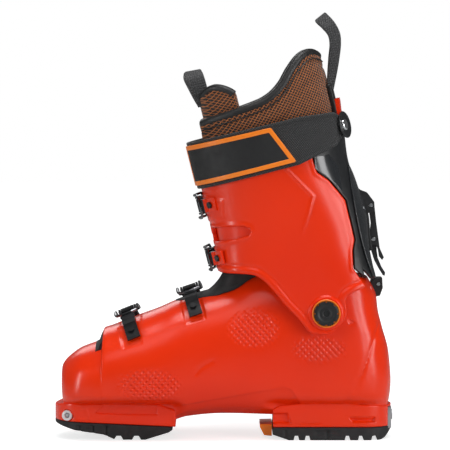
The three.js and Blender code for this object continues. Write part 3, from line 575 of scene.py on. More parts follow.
def loft(rings, ends=None):
    """Closed rings of equal count joined one after the next, with a fan over each end.

    ends are the middles of the two fans, when they aren't those of the end rings.
    """
    rings = np.asarray(rings, float)
    n, m = rings.shape[:2]
    co = [rings.reshape(-1, 3), rings[[0, -1]].mean(axis=1) if ends is None else ends]
    faces = [(i * m + j, i * m + (j + 1) % m, (i + 1) * m + (j + 1) % m, (i + 1) * m + j)
             for i in range(n - 1) for j in range(m)]
    start, end, last = n * m, n * m + 1, (n - 1) * m
    faces += [((j + 1) % m, j, start) for j in range(m)]
    faces += [(last + j, last + (j + 1) % m, end) for j in range(m)]
    return facing_out(np.vstack(co), faces)


def facing_out(co, faces):
    """The same solid, with its faces turned round if they look inwards."""
    volume = 0.0
    for f in faces:
        a = co[f[0]]
        for k in range(1, len(f) - 1):
            volume += a @ np.cross(co[f[k]], co[f[k + 1]])
    return (co, faces) if volume > 0 else (co, [tuple(reversed(f)) for f in faces])


def tube(points, radius, sides):
    """Round cord along a line, with cross directions that turn as little as they can."""
    p = np.asarray(points, float)
    tangent = np.gradient(p, axis=0)
    tangent /= np.linalg.norm(tangent, axis=1)[:, None]
    side = np.zeros_like(p)
    current = np.array([0, 1.0, 0]) if abs(tangent[0][1]) < 0.9 else np.array([1.0, 0, 0])
    for i, t in enumerate(tangent):
        current = current - (current @ t) * t
        current /= np.linalg.norm(current)
        side[i] = current
    other = np.cross(tangent, side)
    turn = np.linspace(0, 2 * math.pi, sides, endpoint=False)[None, :, None]
    return loft(p[:, None] + radius * (side[:, None] * np.cos(turn) + other[:, None] * np.sin(turn)))


def lathe(profile, centre, axis, segments=64, squeeze=None):
    """Turned piece. profile is (distance along the axis, radius), starting and ending at radius 0."""
    centre = np.asarray(centre)
    axis = np.asarray(axis, float) / np.linalg.norm(axis)
    helper = np.array([0, 0, 1.0]) if abs(axis[2]) < 0.9 else np.array([1.0, 0, 0])
    u = np.cross(helper, axis)
    u /= np.linalg.norm(u)
    v = np.cross(axis, u)
    turn = np.linspace(0, 2 * math.pi, segments, endpoint=False)
    rings = []
    for along, radius in profile[1:-1]:
        reach = radius * (squeeze(turn, radius) if squeeze else np.ones(segments))
        rings.append(centre + axis * along + np.outer(reach * np.cos(turn), u)
                     + np.outer(reach * np.sin(turn), v))
    return loft(rings, [centre + axis * profile[0][0], centre + axis * profile[-1][0]])


def turned(profile, centre, side, segments, squeeze=None):
    """Turned piece on an axis across the boot, on the medial side -1 or the lateral side 1."""
    return lathe([(side * a, r) for a, r in profile], centre, (0, 1, 0), segments, squeeze)


def join(*solids):
    co, faces, start = [], [], 0
    for c, f in solids:
        co.append(np.asarray(c, float))
        faces += [tuple(i + start for i in face) for face in f]
        start += len(c)
    return np.vstack(co), faces


def rounded_slab(low, high, half, radius, count=7, side_steps=1, flat_steps=1):
    """Section ring in (y, z) of a block with four rounded corners, its straight stretches cut into steps."""
    radius = max(0.05, min(radius, half * 0.98, (high - low) * 0.49))
    turn = np.linspace(0, math.pi / 2, count)
    corners = [(half - radius, high - radius), (-half + radius, high - radius),
               (-half + radius, low + radius), (half - radius, low + radius)]

    def rim(quarter, t):
        y, z = corners[quarter]
        angle = quarter * math.pi / 2 + t
        return y + radius * math.cos(angle), z + radius * math.sin(angle)

    ring = []
    for quarter in range(4):
        ring += [rim(quarter, t) for t in turn]
        start, end = ring[-1], rim((quarter + 1) % 4, 0)
        steps = side_steps if quarter % 2 else flat_steps
        ring += [(start[0] + (end[0] - start[0]) * t / steps, start[1] + (end[1] - start[1]) * t / steps)
                 for t in range(1, steps)]
    return ring


def block_along_x(xs, half, low, high, radius, side_steps=18):
    """Solid whose section at each x is a rounded block; every ring keeps the same count of points."""
    return loft([[(x, y, z) for y, z in rounded_slab(low(x), high(x), half(x), radius, 7, side_steps, 14)]
                 for x in xs])


def table_of(points):
    xs, zs = np.array(points, float).T
    return lambda x: float(np.interp(x, xs, zs))


def rows_through(points, spacing):
    """x stations that step evenly and also stand on both sides of every corner of a profile."""
    xs = [p[0] for p in points]
    stations = set(np.round(np.arange(min(xs), max(xs), spacing), 3))
    for x in xs:
        stations |= {round(x - CORNER_GAP, 3), round(x + CORNER_GAP, 3)}
    return sorted(x for x in stations if min(xs) <= x <= max(xs))


def skin_patch(outline, low, high, inset, side=None, count=300, rise=1.0, shaft=False, power=3.0):
    """Leg surface between two heights, with each point's distance inside an outline drawn in side view.

    The outline is in x and z, or with shaft in reach and height along the shaft. side(co) cuts it further.
    """
    heights = np.linspace(low, high, max(3, int((high - low) / rise)))
    skin = Skin.grid(leg_point_rows(heights, even_angles(count, power), inset), flip=True)
    value = inside_distance(to_shaft(skin.co) if shaft else skin.co[:, [0, 2]], outline)
    if side is not None:
        value = np.minimum(value, side(skin.co))
    return skin, value


def dress(name, material, width):
    """Paints a CAD node that keeps its shape and softens its edges by a width."""
    obj = frame["nodes"][name]
    obj.data.materials.clear()
    obj.data.materials.append(material)
    modifier = obj.modifiers.new("edge", "BEVEL")
    modifier.width = width * MM
    modifier.segments = 2
    modifier.limit_method = "ANGLE"
    modifier.angle_limit = BEVEL_FROM
    modifier.use_clamp_overlap = True
    obj.data.polygons.foreach_set("use_smooth", [True] * len(obj.data.polygons))
    obj.data.set_sharp_from_angle(angle=BEVEL_FROM)


def build(name, solid, material, body, slot, *nodes, shade=40, height=None):
    obj = make_object(name, *solid, material, shade)
    if height:
        relief(obj, height)
    return place(obj, body, slot, *nodes)


def panel(name, outline, span, inset, trim, depth, edge, material, *nodes,
          slot="black_plastic", steps=4, band=None, height=None, **patch):
    """Sheet on the cuff's surface inside an outline, cut back by trim; band keeps a strip along its edge."""
    skin, value = skin_patch(outline, *span, inset, **patch)
    value = value - trim if band is None else np.minimum(value - trim, band - value)
    return build(name, skin.clip(value).thicken(depth, edge, steps), material, "cuff", slot, *nodes,
                 shade=None, height=height)


# ---------------------------------------------------------------- materials
def shader(name, color, roughness, metallic=0.0, **more):
    m = bpy.data.materials.new(name)
    m.use_nodes = True
    b = m.node_tree.nodes["Principled BSDF"]
    b.inputs["Base Color"].default_value = (*color, 1)
    b.inputs["Roughness"].default_value = roughness
    b.inputs["Metallic"].default_value = metallic
    for key, value in more.items():
        b.inputs[key.replace("_", " ")].default_value = value
    return m


def noise_output(m, scale, detail=3.0, stretch=(1, 1, 1)):
    """Noise in object space, from 0 to 1."""
    t = m.node_tree
    where = t.nodes.new("ShaderNodeTexCoord")
    mapping = t.nodes.new("ShaderNodeMapping")
    mapping.inputs["Scale"].default_value = stretch
    noise = t.nodes.new("ShaderNodeTexNoise")
    noise.inputs["Scale"].default_value = scale
    noise.inputs["Detail"].default_value = detail
    t.links.new(where.outputs["Object"], mapping.inputs["Vector"])
    t.links.new(mapping.outputs["Vector"], noise.inputs["Vector"])
    return noise.outputs["Fac"]


def link_range(m, factor, low, high, socket="Base Color", span=(0.0, 1.0)):
    """A factor, mapped between two numbers or two colours over a span, into a socket of the surface."""
    t = m.node_tree
    ramp = t.nodes.new("ShaderNodeValToRGB")
    for k, value in enumerate((low, high)):
        ramp.color_ramp.elements[k].position = span[k]
        ramp.color_ramp.elements[k].color = (*(value if isinstance(value, tuple) else (value,) * 3), 1)
    t.links.new(factor, ramp.inputs["Fac"])
    t.links.new(ramp.outputs["Color"], t.nodes["Principled BSDF"].inputs[socket])


def link_noise(m, scale, low, high, socket, detail=4.0, stretch=(1, 1, 1)):
    link_range(m, noise_output(m, scale, detail, stretch), low, high, socket, (0.3, 0.7))


def link_bump(m, height_output, strength, distance):
    t = m.node_tree
    bump = t.nodes.new("ShaderNodeBump")
    bump.inputs["Strength"].default_value = strength
    bump.inputs["Distance"].default_value = distance
    t.links.new(height_output, bump.inputs["Height"])
    t.links.new(bump.outputs["Normal"], t.nodes["Principled BSDF"].inputs["Normal"])


def plastic(name, low, high, rough_low, rough_high, coat=0.0, grain=0.0, gloss=0.5):
    m = shader(name, high, rough_high, Coat_Weight=coat, Coat_Roughness=0.12, Specular_IOR_Level=gloss)
    link_noise(m, 9.0, low, high, "Base Color", detail=2.0)
    link_noise(m, 140.0, rough_low, rough_high, "Roughness", detail=5.0)
    if grain:
        link_bump(m, noise_output(m, 1800.0, 2.0), grain, 0.0002)
    return m


RED = plastic("moulded_red", (0.86, 0.028, 0.0010), (0.92, 0.036, 0.0014), 0.235, 0.265,
              grain=0.03, gloss=0.42)
BLACK = plastic("moulded_black", (0.008, 0.0085, 0.009), (0.016, 0.017, 0.019), 0.34, 0.50, grain=0.35)
GLOSS_BLACK = plastic("gloss_black", (0.016, 0.018, 0.020), (0.024, 0.026, 0.029), 0.12, 0.20, coat=0.4)
ORANGE = plastic("accent_orange", (0.98, 0.22, 0.012), (1.0, 0.26, 0.016), 0.30, 0.42, grain=0.1)
RUBBER = plastic("sole_rubber", (0.009, 0.009, 0.010), (0.019, 0.019, 0.020), 0.55, 0.8, grain=0.6)


def metal(name, low, high, rough_low, rough_high, stretch=(1, 1, 1), metallic=1.0, grain=0.0):
    m = shader(name, high, rough_high, metallic)
    link_noise(m, 60.0, low, high, "Base Color", detail=3.0, stretch=stretch)
    link_noise(m, 420.0, rough_low, rough_high, "Roughness", detail=4.0, stretch=stretch)
    if grain:
        link_bump(m, noise_output(m, 900.0, 3.0, stretch), grain, 0.0001)
    return m


STEEL = metal("turned_steel", (0.42, 0.43, 0.45), (0.62, 0.63, 0.65), 0.25, 0.42, (1, 6, 1), grain=0.1)
DARK_STEEL = metal("blackened_steel", (0.03, 0.03, 0.033), (0.07, 0.07, 0.075), 0.3, 0.45,
                   metallic=0.7, grain=0.1)
DARK_CHROME = metal("black_chrome", (0.10, 0.10, 0.11), (0.20, 0.20, 0.21), 0.12, 0.25)
GROUND_STEEL = metal("ground_steel", (0.80, 0.80, 0.80), (0.90, 0.90, 0.90), 0.35, 0.5, metallic=0.25)
CHROME = metal("polished_steel", (0.72, 0.73, 0.75), (0.82, 0.83, 0.85), 0.08, 0.18)
ANODISED = metal("black_anodised", (0.010, 0.010, 0.011), (0.022, 0.022, 0.024), 0.28, 0.42,
                 metallic=0.35, grain=0.15)
COATED = metal("black_powder_coat", (0.012, 0.012, 0.013), (0.026, 0.026, 0.028), 0.36, 0.55,
               metallic=0.2, grain=0.4)


def math_output(m, operation, a, b):
    node = m.node_tree.nodes.new("ShaderNodeMath")
    node.operation = operation
    for socket, value in zip(node.inputs, (a, b)):
        if isinstance(value, (int, float)):
            socket.default_value = value
        else:
            m.node_tree.links.new(value, socket)
    return node.outputs[0]


def stripes(m, direction, pitch):
    """Even ridges across a direction in space, from 0 to 1, one every pitch millimetres."""
    t = m.node_tree
    where = t.nodes.new("ShaderNodeTexCoord")
    dot = t.nodes.new("ShaderNodeVectorMath")
    dot.operation = "DOT_PRODUCT"
    length = math.sqrt(sum(d * d for d in direction))
    dot.inputs[1].default_value = [d / length for d in direction]
    t.links.new(where.outputs["Object"], dot.inputs[0])
    angle = math_output(m, "MULTIPLY", dot.outputs["Value"], 2 * math.pi / (pitch * MM))
    wave = math_output(m, "SINE", angle, 0.0)
    return math_output(m, "MULTIPLY", math_output(m, "ADD", wave, 1.0), 0.5)


def woven(name, low, high, pitch, along, across, rough=0.7, depth=0.0004):
    """Cloth of warp and weft threads that run across the two given directions."""
    m = shader(name, high, rough, Sheen_Weight=0.15)
    weave = math_output(m, "MULTIPLY", stripes(m, along, pitch), stripes(m, across, pitch * 1.1))
    fuzz = noise_output(m, 2600.0, 2.0)
    both = math_output(m, "ADD", weave, math_output(m, "MULTIPLY", fuzz, 0.35))
    link_range(m, both, low, high)
    link_bump(m, both, 0.8, depth)
    return m


def mesh_lining(name):
    """Open brown-black mesh over dark foam, with thin bright diagonal threads."""
    m = shader(name, (0.02, 0.012, 0.008), 0.75, Sheen_Weight=0.2)
    one = stripes(m, (0.92, 0.45, -0.55), 2.5)
    two = stripes(m, (0.30, 0.15, 1.0), 2.3)
    peak = math_output(m, "MAXIMUM", math_output(m, "POWER", one, 5.0), math_output(m, "POWER", two, 7.0))
    cell = noise_output(m, 1500.0, 3.0)
    broken = math_output(m, "MULTIPLY", peak, math_output(m, "MULTIPLY", cell, 1.6))
    link_range(m, broken, (0.006, 0.0045, 0.004), (0.52, 0.15, 0.03), span=(0.12, 0.75))
    dots = math_output(m, "ADD", peak, math_output(m, "MULTIPLY", cell, 0.5))
    link_bump(m, dots, 0.6, 0.0006)
    return m


def leather(name, low, high):
    m = shader(name, high, 0.45)
    link_noise(m, 30.0, low, high, "Base Color")
    link_noise(m, 260.0, 0.32, 0.55, "Roughness")
    link_bump(m, noise_output(m, 1300.0, 4.0), 0.5, 0.0005)
    return m


WEBBING = woven("loop_webbing", (0.014, 0.014, 0.015), (0.075, 0.075, 0.078), 1.2,
                (0.3, 0.3, 1), (1, 0.6, -0.2), 0.5)
STRAP = woven("strap_webbing", (0.003, 0.003, 0.0035), (0.030, 0.030, 0.032), 1.5,
              (1, 0.7, 0.9), (1, 0.7, -1.1), 0.62, 0.0006)
PATCH = plastic("patch_rubber", (0.006, 0.006, 0.0065), (0.011, 0.011, 0.012), 0.5, 0.66, grain=0.4)
LINER = mesh_lining("liner_mesh")
LEATHER = leather("piping_leather", (0.008, 0.008, 0.008), (0.018, 0.017, 0.017))
FOAM = leather("footbed_foam", (0.020, 0.020, 0.022), (0.045, 0.045, 0.048))


# ---------------------------------------------------------------- camera, floor, light
FRAME_SPAN = 0.408465
LENS = 240
SENSOR = 36
CAMERA_AWAY = FRAME_SPAN * LENS / SENSOR
CAMERA_RISE = math.radians(3)
CAMERA_TARGET = (-0.090316, 0, 0.192432)
FLOOR_HALF = 6.0
AMBIENT = 0.11
# the floor's glow, and the distances in metres from the middle over which it rises
FLOOR_GLOW = (0.72, 0.97)
FLOOR_GLOW_SPAN = (0.2, 1.1)
# name, place, aim, width, height, power
LIGHTS = [
    ("key", (-0.5, -1.3, 1.35), (-0.08, 0, 0.16), 0.8, 0.75, 3.0),
    ("side", (1.35, -0.95, 0.38), (0.0, 0, 0.18), 0.42, 1.3, 12),
    ("rear strip", (0.95, -1.25, 0.32), (0.02, 0, 0.2), 0.24, 1.2, 5.5),
    ("front", (-1.65, -0.7, 0.4), (-0.15, 0, 0.1), 0.22, 1.0, 9),
    ("top", (0.0, -0.25, 1.9), (-0.05, 0, 0.1), 1.2, 0.8, 20),
    ("back", (-0.5, 1.6, 1.0), (0, 0, 0.2), 1.0, 0.8, 5),
]


def glow_from_floor(m):
    """White backdrop paper: it glows a little more away from the boot, and only for the camera."""
    t = m.node_tree
    where = t.nodes.new("ShaderNodeTexCoord")
    away = t.nodes.new("ShaderNodeVectorMath")
    away.operation = "LENGTH"
    spread = t.nodes.new("ShaderNodeMapRange")
    for kind, pair in (("From", FLOOR_GLOW_SPAN), ("To", FLOOR_GLOW)):
        spread.inputs[kind + " Min"].default_value, spread.inputs[kind + " Max"].default_value = pair
    t.links.new(where.outputs["Object"], away.inputs[0])
    t.links.new(away.outputs["Value"], spread.inputs["Value"])
    path = t.nodes.new("ShaderNodeLightPath")
    strength = math_output(m, "MULTIPLY", spread.outputs["Result"], path.outputs["Is Camera Ray"])
    surface = t.nodes["Principled BSDF"]
    surface.inputs["Emission Color"].default_value = (1, 1, 1, 1)
    t.links.new(strength, surface.inputs["Emission Strength"])


def studio():
    camera = bpy.data.objects.new("camera", bpy.data.cameras.new("camera"))
    bpy.context.scene.collection.objects.link(camera)
    camera.data.lens = LENS
    camera.data.sensor_width = SENSOR
    camera.data.clip_end = 20
    away = Vector((0, -math.cos(CAMERA_RISE), math.sin(CAMERA_RISE))) * CAMERA_AWAY
    camera.location = Vector(CAMERA_TARGET) + away
    camera.rotation_euler = (math.radians(90) - CAMERA_RISE, 0, 0)
    bpy.context.scene.camera = camera
    floor = bpy.data.meshes.new("floor")
    floor.from_pydata([(x * FLOOR_HALF, y * FLOOR_HALF, 0) for x, y in ((-1, -1), (1, -1), (1, 1), (-1, 1))],
                      [], [(0, 1, 2, 3)])
    ground = bpy.data.objects.new("floor", floor)
    bpy.context.scene.collection.objects.link(ground)
    ground_paint = shader("floor", (0.60, 0.62, 0.62), 0.8, Specular_IOR_Level=0.0)
    glow_from_floor(ground_paint)
    floor.materials.append(ground_paint)
    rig.stage(ground)
    world = bpy.data.worlds.new("studio")
    bpy.context.scene.world = world
    world.use_nodes = True
    tree = world.node_tree
    around = tree.nodes["Background"]
    around.inputs["Color"].default_value = (1, 1, 1, 1)
    around.inputs["Strength"].default_value = AMBIENT
    behind = tree.nodes.new("ShaderNodeBackground")
    behind.inputs["Color"].default_value = (1, 1, 1, 1)
    behind.inputs["Strength"].default_value = 1.0
    path = tree.nodes.new("ShaderNodeLightPath")
    mixed = tree.nodes.new("ShaderNodeMixShader")
    tree.links.new(path.outputs["Is Camera Ray"], mixed.inputs[0])
    tree.links.new(around.outputs[0], mixed.inputs[1])
    tree.links.new(behind.outputs[0], mixed.inputs[2])
    tree.links.new(mixed.outputs[0], tree.nodes["World Output"].inputs["Surface"])
    for name, spot, aim, wide, high, power in LIGHTS:
        data = bpy.data.lights.new(name, "AREA")
        data.shape = "RECTANGLE"
        data.size, data.size_y, data.energy = wide, high, power
        lamp = bpy.data.objects.new(name, data)
        bpy.context.scene.collection.objects.link(lamp)
        lamp.location = spot
        lamp.rotation_euler = (Vector(aim) - Vector(spot)).to_track_quat("-Z", "Y").to_euler()


studio()
bpy.context.scene.view_settings.view_transform = "Standard"


# ---------------------------------------------------------------- lower shell
# steps between one section of the foot and the next
SHELL_STEPS = [7, 5, 7, 8, 10, 6, 7, 8, 14, 13, 9, 16, 18, 16, 12, 9, 10, 12, 10, 7, 7, 7]
# patches of dimples: middle x and z, half length, half height
DIMPLES = [(-158, 51.7, 35, 18), (-64.4, 101.7, 29, 21), (-6, 83, 29.5, 15.5)]
DIMPLE_STEP = 5.5
DIMPLE_ROW = 2.9
DIMPLE_RADIUS = 1.35
HEEL_SEAM = [[49, 106], [41.8, 87], [32.5, 60.8], [10.3, 19]]
ARCH_BAND = [[-138, 31], [-37, 48.6], [-30.7, 46.5], [-12, 14], [-140, 14]]
RACK_POCKETS = [[[-181.5, 84], [-164, 89], [-169.5, 106], [-187, 101]],
                [[-125.5, 105.5], [-107, 110.5], [-112, 128], [-130, 122]]]
CREASE = [[-117, 61], [-112, 66.5], [-107, 70], [-101, 73]]
HEEL_MARK = [[20, 110.6], [26, 108], [21.2, 105.4]]
# the entry slot: its middle line in plan, its half width, the height it starts at
THROAT = [[-86.0, 0.0], [-10.0, 0.0]]
THROAT_HALF = 21.2
THROAT_FROM = 104
# relief is only refined this far from the middle plane
RELIEF_SIDE = 20


def dimple_spread(co, patch):
    """How far out points lie in a patch of dimples: 0 in its middle, 1 on its edge."""
    cx, cz, rx, rz = patch
    return np.hypot((co[:, 0] - cx) / rx, (co[:, 2] - cz) / rz)


def nearest_dimples(co):
    return np.minimum.reduce([dimple_spread(co, patch) for patch in DIMPLES])


def dimple_depth(co):
    """Depth of the dimples, from 0 to 1, in rows that are offset by half a step."""
    depth = np.zeros(len(co))
    for patch in DIMPLES:
        x, z = co[:, 0] - patch[0], co[:, 2] - patch[1]
        row = np.round(z / DIMPLE_ROW)
        shift = np.where(row % 2 == 0, 0.0, 0.5)
        column = np.round(x / DIMPLE_STEP - shift)
        away = np.hypot(x - (column + shift) * DIMPLE_STEP, z - row * DIMPLE_ROW) / DIMPLE_RADIUS
        depth += (1 - smooth(0.5, 0.97, dimple_spread(co, patch))) * np.clip(1 - away ** 2, 0, 1) ** 0.7
    return depth


def shell_height(co, n):
    """Dimples, seams and pockets sunk into the flanks of the lower shell."""
    plane = co[:, [0, 2]]
    side = smooth(22, 28, np.abs(co[:, 1]))
    push = -1.15 * dimple_depth(co) * side
    push -= 0.9 * np.exp(-(line_distance(plane, HEEL_SEAM) / 0.9) ** 2) * side
    push -= 1.3 * smooth(-1, 1.6, inside_distance(plane, ARCH_BAND)) * side
    for pocket in RACK_POCKETS:
        push -= 0.9 * smooth(-1.0, 1.2, inside_distance(plane, pocket)) * (co[:, 1] < 0)
    push -= 0.6 * np.exp(-(line_distance(plane, CREASE) / 1.2) ** 2) * side
    return push - 1.2 * smooth(-0.3, 0.6, inside_distance(plane, HEEL_MARK)) * side


def lower_shell():
    rows = foot_point_rows(section_steps(0, SHELL_STEPS) + [len(SHELL_STEPS)], even_angles(142))
    skin = Skin.grid(closed_nose(rows, (0.02, 0.25, 0.5, 0.75, 0.92)))
    z = skin.co[:, 2]
    throat = line_distance(skin.co[:, :2], THROAT) - THROAT_HALF
    skin = skin.clip(np.where(z > THROAT_FROM, np.maximum(throat, THROAT_FROM + 0.5 - z), 1.0))
    solid = skin.thicken(SHELL_WALL - 0.2, 1.3)
    obj = make_object("shell_skin", *solid, RED)
    # refine adds points, and carries this mark of the outer side over to them
    attribute = obj.data.attributes.new("outside", "FLOAT", "POINT")
    attribute.data.foreach_set("value", (np.arange(len(obj.data.vertices)) < solid.outer).astype(np.float32))

    def on_outside():
        flags = np.zeros(len(obj.data.vertices), np.float32)
        obj.data.attributes["outside"].data.foreach_get("value", flags)
        return flags > 0.5

    co = coordinates(obj)
    refine(obj, on_outside() & (np.abs(co[:, 1]) > RELIEF_SIDE) & (nearest_dimples(co) < 0.98), 3)
    co = coordinates(obj)
    plane = co[:, [0, 2]]
    near = (line_distance(plane, HEEL_SEAM) < 2.2) | (line_distance(plane, CREASE) < 3)
    near |= np.abs(inside_distance(plane, ARCH_BAND)) < 2.4
    near |= inside_distance(plane, HEEL_MARK) > -1.5
    for pocket in RACK_POCKETS:
        near |= np.abs(inside_distance(plane, pocket)) < 2.6
    refine(obj, on_outside() & (np.abs(co[:, 1]) > RELIEF_SIDE) & near & (nearest_dimples(co) > 1.0), 1)
    flags = on_outside()
    relief(obj, lambda co, n: shell_height(co, n) * flags)
    obj.data.attributes.remove(obj.data.attributes["outside"])
    return place(obj, "shell", "shell_plastic", "lower_shell")


lower_shell()



# ---------------------------------------------------------------- lugs and soles
FLANK_FROM = 24.0
# the toe lug's two sockets for the steel fitting: radius, and the y of their floor
SOCKET_RADIUS = 5.3
SOCKET_FLOOR = 24.6
# flat seat of the heel insert: its x, its half width, the heights it lies between
HEEL_SEAT_X = 53.4
HEEL_SEAT_HALF = 17.3
HEEL_SEAT_SPAN = (5, 29.2)


def nose_rows(start, end, count, nose_at_start):
    """x stations that crowd together towards the round end of a lug."""
    t = np.linspace(0, 1, count) ** 2.2
    return list(start + (end - start) * t) if nose_at_start else list(end - (end - start) * t)[::-1]


def lug(name, xs, half, low, top, radius, steps, material, pockets, shade=None):
    """Block under the shell, with pockets (outline in side view, depth, softness) pressed into both flanks."""
    obj = make_object(name, *block_along_x(xs, half, low, top, radius, steps), material, shade)
    co = coordinates(obj)
    for outline, depth, soft in pockets:
        push = depth * smooth(-soft * 0.5, soft, inside_distance(co[:, [0, 2]], outline))
        co[:, 1] -= np.sign(co[:, 1]) * push * (np.abs(co[:, 1]) > FLANK_FROM)
    set_coordinates(obj, co)
    return obj


def upright(x, half, low, high):
    """Outline of a narrow upright groove in side view."""
    return [[x - half, low], [x - half, high], [x + half, high], [x + half, low]]


def toe_lug():
    xs = nose_rows(TOE_X + 0.05, TOE_X + 26, 34, True)[:-1] + list(np.arange(TOE_X + 26, -134.5, 0.9))
    top = table_of([(TOE_X, 30.6), (TOE_X + 3, 31.6), (-236, 33), (-205, LUG_TOP), (-150, 33), (-134, 27)])
    obj = lug("toe_lug", xs, toe_half, lambda x: sole_top(x) + 0.25, top, 1.6, 26, RED, [
        ([[-206, 25.2], [-199, 31.8], [-152, 31.2], [-152, 23.6], [-200, 24.4]], 4.2, 1.5),
        ([[-225, 17.5], [-222, 28.6], [-214, 28.6], [-211, 17.5]], 0.5, 0.8)])
    co = coordinates(obj)
    bore = np.hypot(co[:, 0] - TOE_X - 12, co[:, 2] - TOE_PIN[1]) < SOCKET_RADIUS
    co[:, 1] = np.where(bore, np.sign(co[:, 1]) * np.minimum(np.abs(co[:, 1]), SOCKET_FLOOR), co[:, 1])
    set_coordinates(obj, co)
    return place(obj, "shell", "shell_plastic")


def heel_lug():
    xs = list(np.arange(-47, HEEL_X - 22, 0.9)) + nose_rows(HEEL_X - 22, HEEL_X - 0.05, 34, False)
    top = table_of([(-47, 28), (-42, 31), (-20, 34), (20, 34), (40, 31.6), (HEEL_X, 30.6)])
    obj = lug("heel_lug", xs, heel_half, lambda x: 11.8, top, 1.4, 26, RED, [
        ([[21.4, 20.9], [44.3, 20.9], [44.3, 16.3], [25, 16.3]], 3.4, 1.0),
        ([[-53, 15.5], [-31, 15.5], [-34, 24.6], [-53, 24.6]], 3.4, 1.2),
        ([[-22, 15], [-4, 15], [-4, 16.2], [-22, 16.2]], 0.5, 0.5)])
    co = coordinates(obj)
    low, high = HEEL_SEAT_SPAN
    at_back = smooth(52.6, HEEL_SEAT_X, co[:, 0]) * (np.abs(co[:, 1]) < HEEL_SEAT_HALF)
    at_back = at_back * (co[:, 2] > low) * (co[:, 2] < high)
    co[:, 0] -= at_back * np.maximum(co[:, 0] - HEEL_SEAT_X, 0)
    set_coordinates(obj, co)
    return place(obj, "shell", "shell_plastic")


def toe_sole():
    line = [(TOE_X, 14.5), (-239, 12.6), (-226, 9), (-200, 5.2), (-190, 1), (-188, 4), (-184, 4), (-182, 0.5),
            (-174, 0.5), (-172, 4), (-168, 4), (-166, 0.5), (-162, 0.5), (-141, 7), (-137.5, 9.5)]
    xs = nose_rows(TOE_X + 0.05, TOE_X + 22, 26, True)[:-1]
    xs += [x for x in rows_through(line, 1.5) if x > TOE_X + 22]
    grooves = [(upright(x, 1.2, 0, 13.2), 2.2, 0.5) for x in (-221, -209, -197)]
    grooves.append(([[-178.6, 0], [-178.6, 11], [-177, 11], [-177, 0]], 1.8, 0.5))
    obj = lug("toe_sole_rubber", xs, toe_half, table_of(line), sole_top, 1.0, 14, RUBBER, grooves, 30)
    return place(obj, "shell", "sole_rubber", "toe_sole")


def heel_sole():
    line = [(-47.4, 5), (-40, 2.5), (-33, 0)]
    for notch in (-26, -16, 20, 32, 44):
        line += [(notch - 2.5, 0), (notch - 1.5, 4), (notch + 1.5, 4), (notch + 2.5, 0)]
    line += [(50, 0), (54, 1.8), (59.6, 8), (HEEL_X, 10.6)]
    xs = [x for x in rows_through(line, 1.5) if x < HEEL_X - 18]
    xs += nose_rows(HEEL_X - 18, HEEL_X - 0.05, 26, False)
    grooves = [(upright(x, 0.9, 0, 9.4), 1.8, 0.5) for x in (-36, 2, 54)]
    grooves.append(([[-9, 3.4], [-9, 8.6], [13, 8.6], [13, 3.4]], 0.7, 0.6))
    obj = lug("heel_sole_rubber", xs, heel_half, table_of(line), lambda x: 11.5, 1.0, 14, RUBBER, grooves, 30)
    return place(obj, "shell", "sole_rubber", "heel_sole")



toe_lug()
heel_lug()
toe_sole()
heel_sole()
wedge = block_along_x(np.arange(-58.8, -47.9, 0.4), lambda x: 22.0,
                      table_of([(-59, 11), (-55, 3.3), (-47.8, 2.6)]),
                      table_of([(-59, 13.2), (-47.8, 13.5)]), 0.8)
build("heel_wedge_insert", wedge, ORANGE, "shell", "accent_plastic", "heel_wedge")


# ---------------------------------------------------------------- binding fittings
def toe_fitting():
    centre = (TOE_PIN[0], 0, TOE_PIN[1])
    faces, cups = [], []
    for side in (-1, 1):
        face = [(18, 0), (18, 4.7), (28.2, 4.7), (28.6, 4.3), (28.6, 2.9), (28.1, 2.5), (26.2, 2.4), (26.2, 0)]
        cup = [(22, 0), (22, 2.2), (27.8, 2.35), (27.2, 1.6), (25.2, 0.6), (25.0, 0)]
        faces.append(turned(face, centre, side, 48))
        cups.append(turned(cup, centre, side, 32))
    build("toe_fitting_face", join(*faces), GROUND_STEEL, "shell", "steel", "toe_insert")
    build("toe_fitting_cup", join(*cups), STEEL, "shell", "steel")


toe_fitting()


# ---------------------------------------------------------------- cuff
CUFF_RIM = [[-104, 150.7], [-69.6, 150.7], [-58, 146.5], [-48, 137], [-37, 123.6], [-24.8, 111], [-16, 100],
            [-9.8, 97.5], [2.4, 97.5], [8.4, 101.8], [16.3, 109.7], [18.4, 118], [19, 131], [36, 139.5]]
SPINE_EDGE = [[24.5, 156], [24, 172], [25.9, 181.7], [17.6, 217], [9.3, 227], [2.4, 235], [-8, 242], [-11, 250],
              [-17, 275]]
RELIEF_SLOT = [[-130, 191], [-105, 190.6], [-84, 193.2], [-73.4, 193.6], [-69, 192], [-67.4, 188.6],
               [-69.5, 185.4], [-75.8, 183.4], [-88, 180.6], [-98.9, 178.4], [-130, 176]]
# the slot and the flap behind it lie on the medial side, from this y outwards
SLOT_SIDE = -8
EMBOSSED_LINE = [[-36.8, 246], [-24, 233], [-12.2, 220.8], [-16.5, 204], [-21.6, 186]]
# room the spine leaves: round the heel of the lower shell, and for the walk lever
HEEL_ROOM = 51.2
HEEL_ROOM_HALF = 42.5
LEVER_HALF = 14.0
WINDOW_HALF = 13.0
WINDOW_TOP = 163.6
SPINE_TOP = 163.2
# raised seats under the two racks on the medial side: middle height, half height
RACK_SEATS = [(208, 12), (163, 11)]


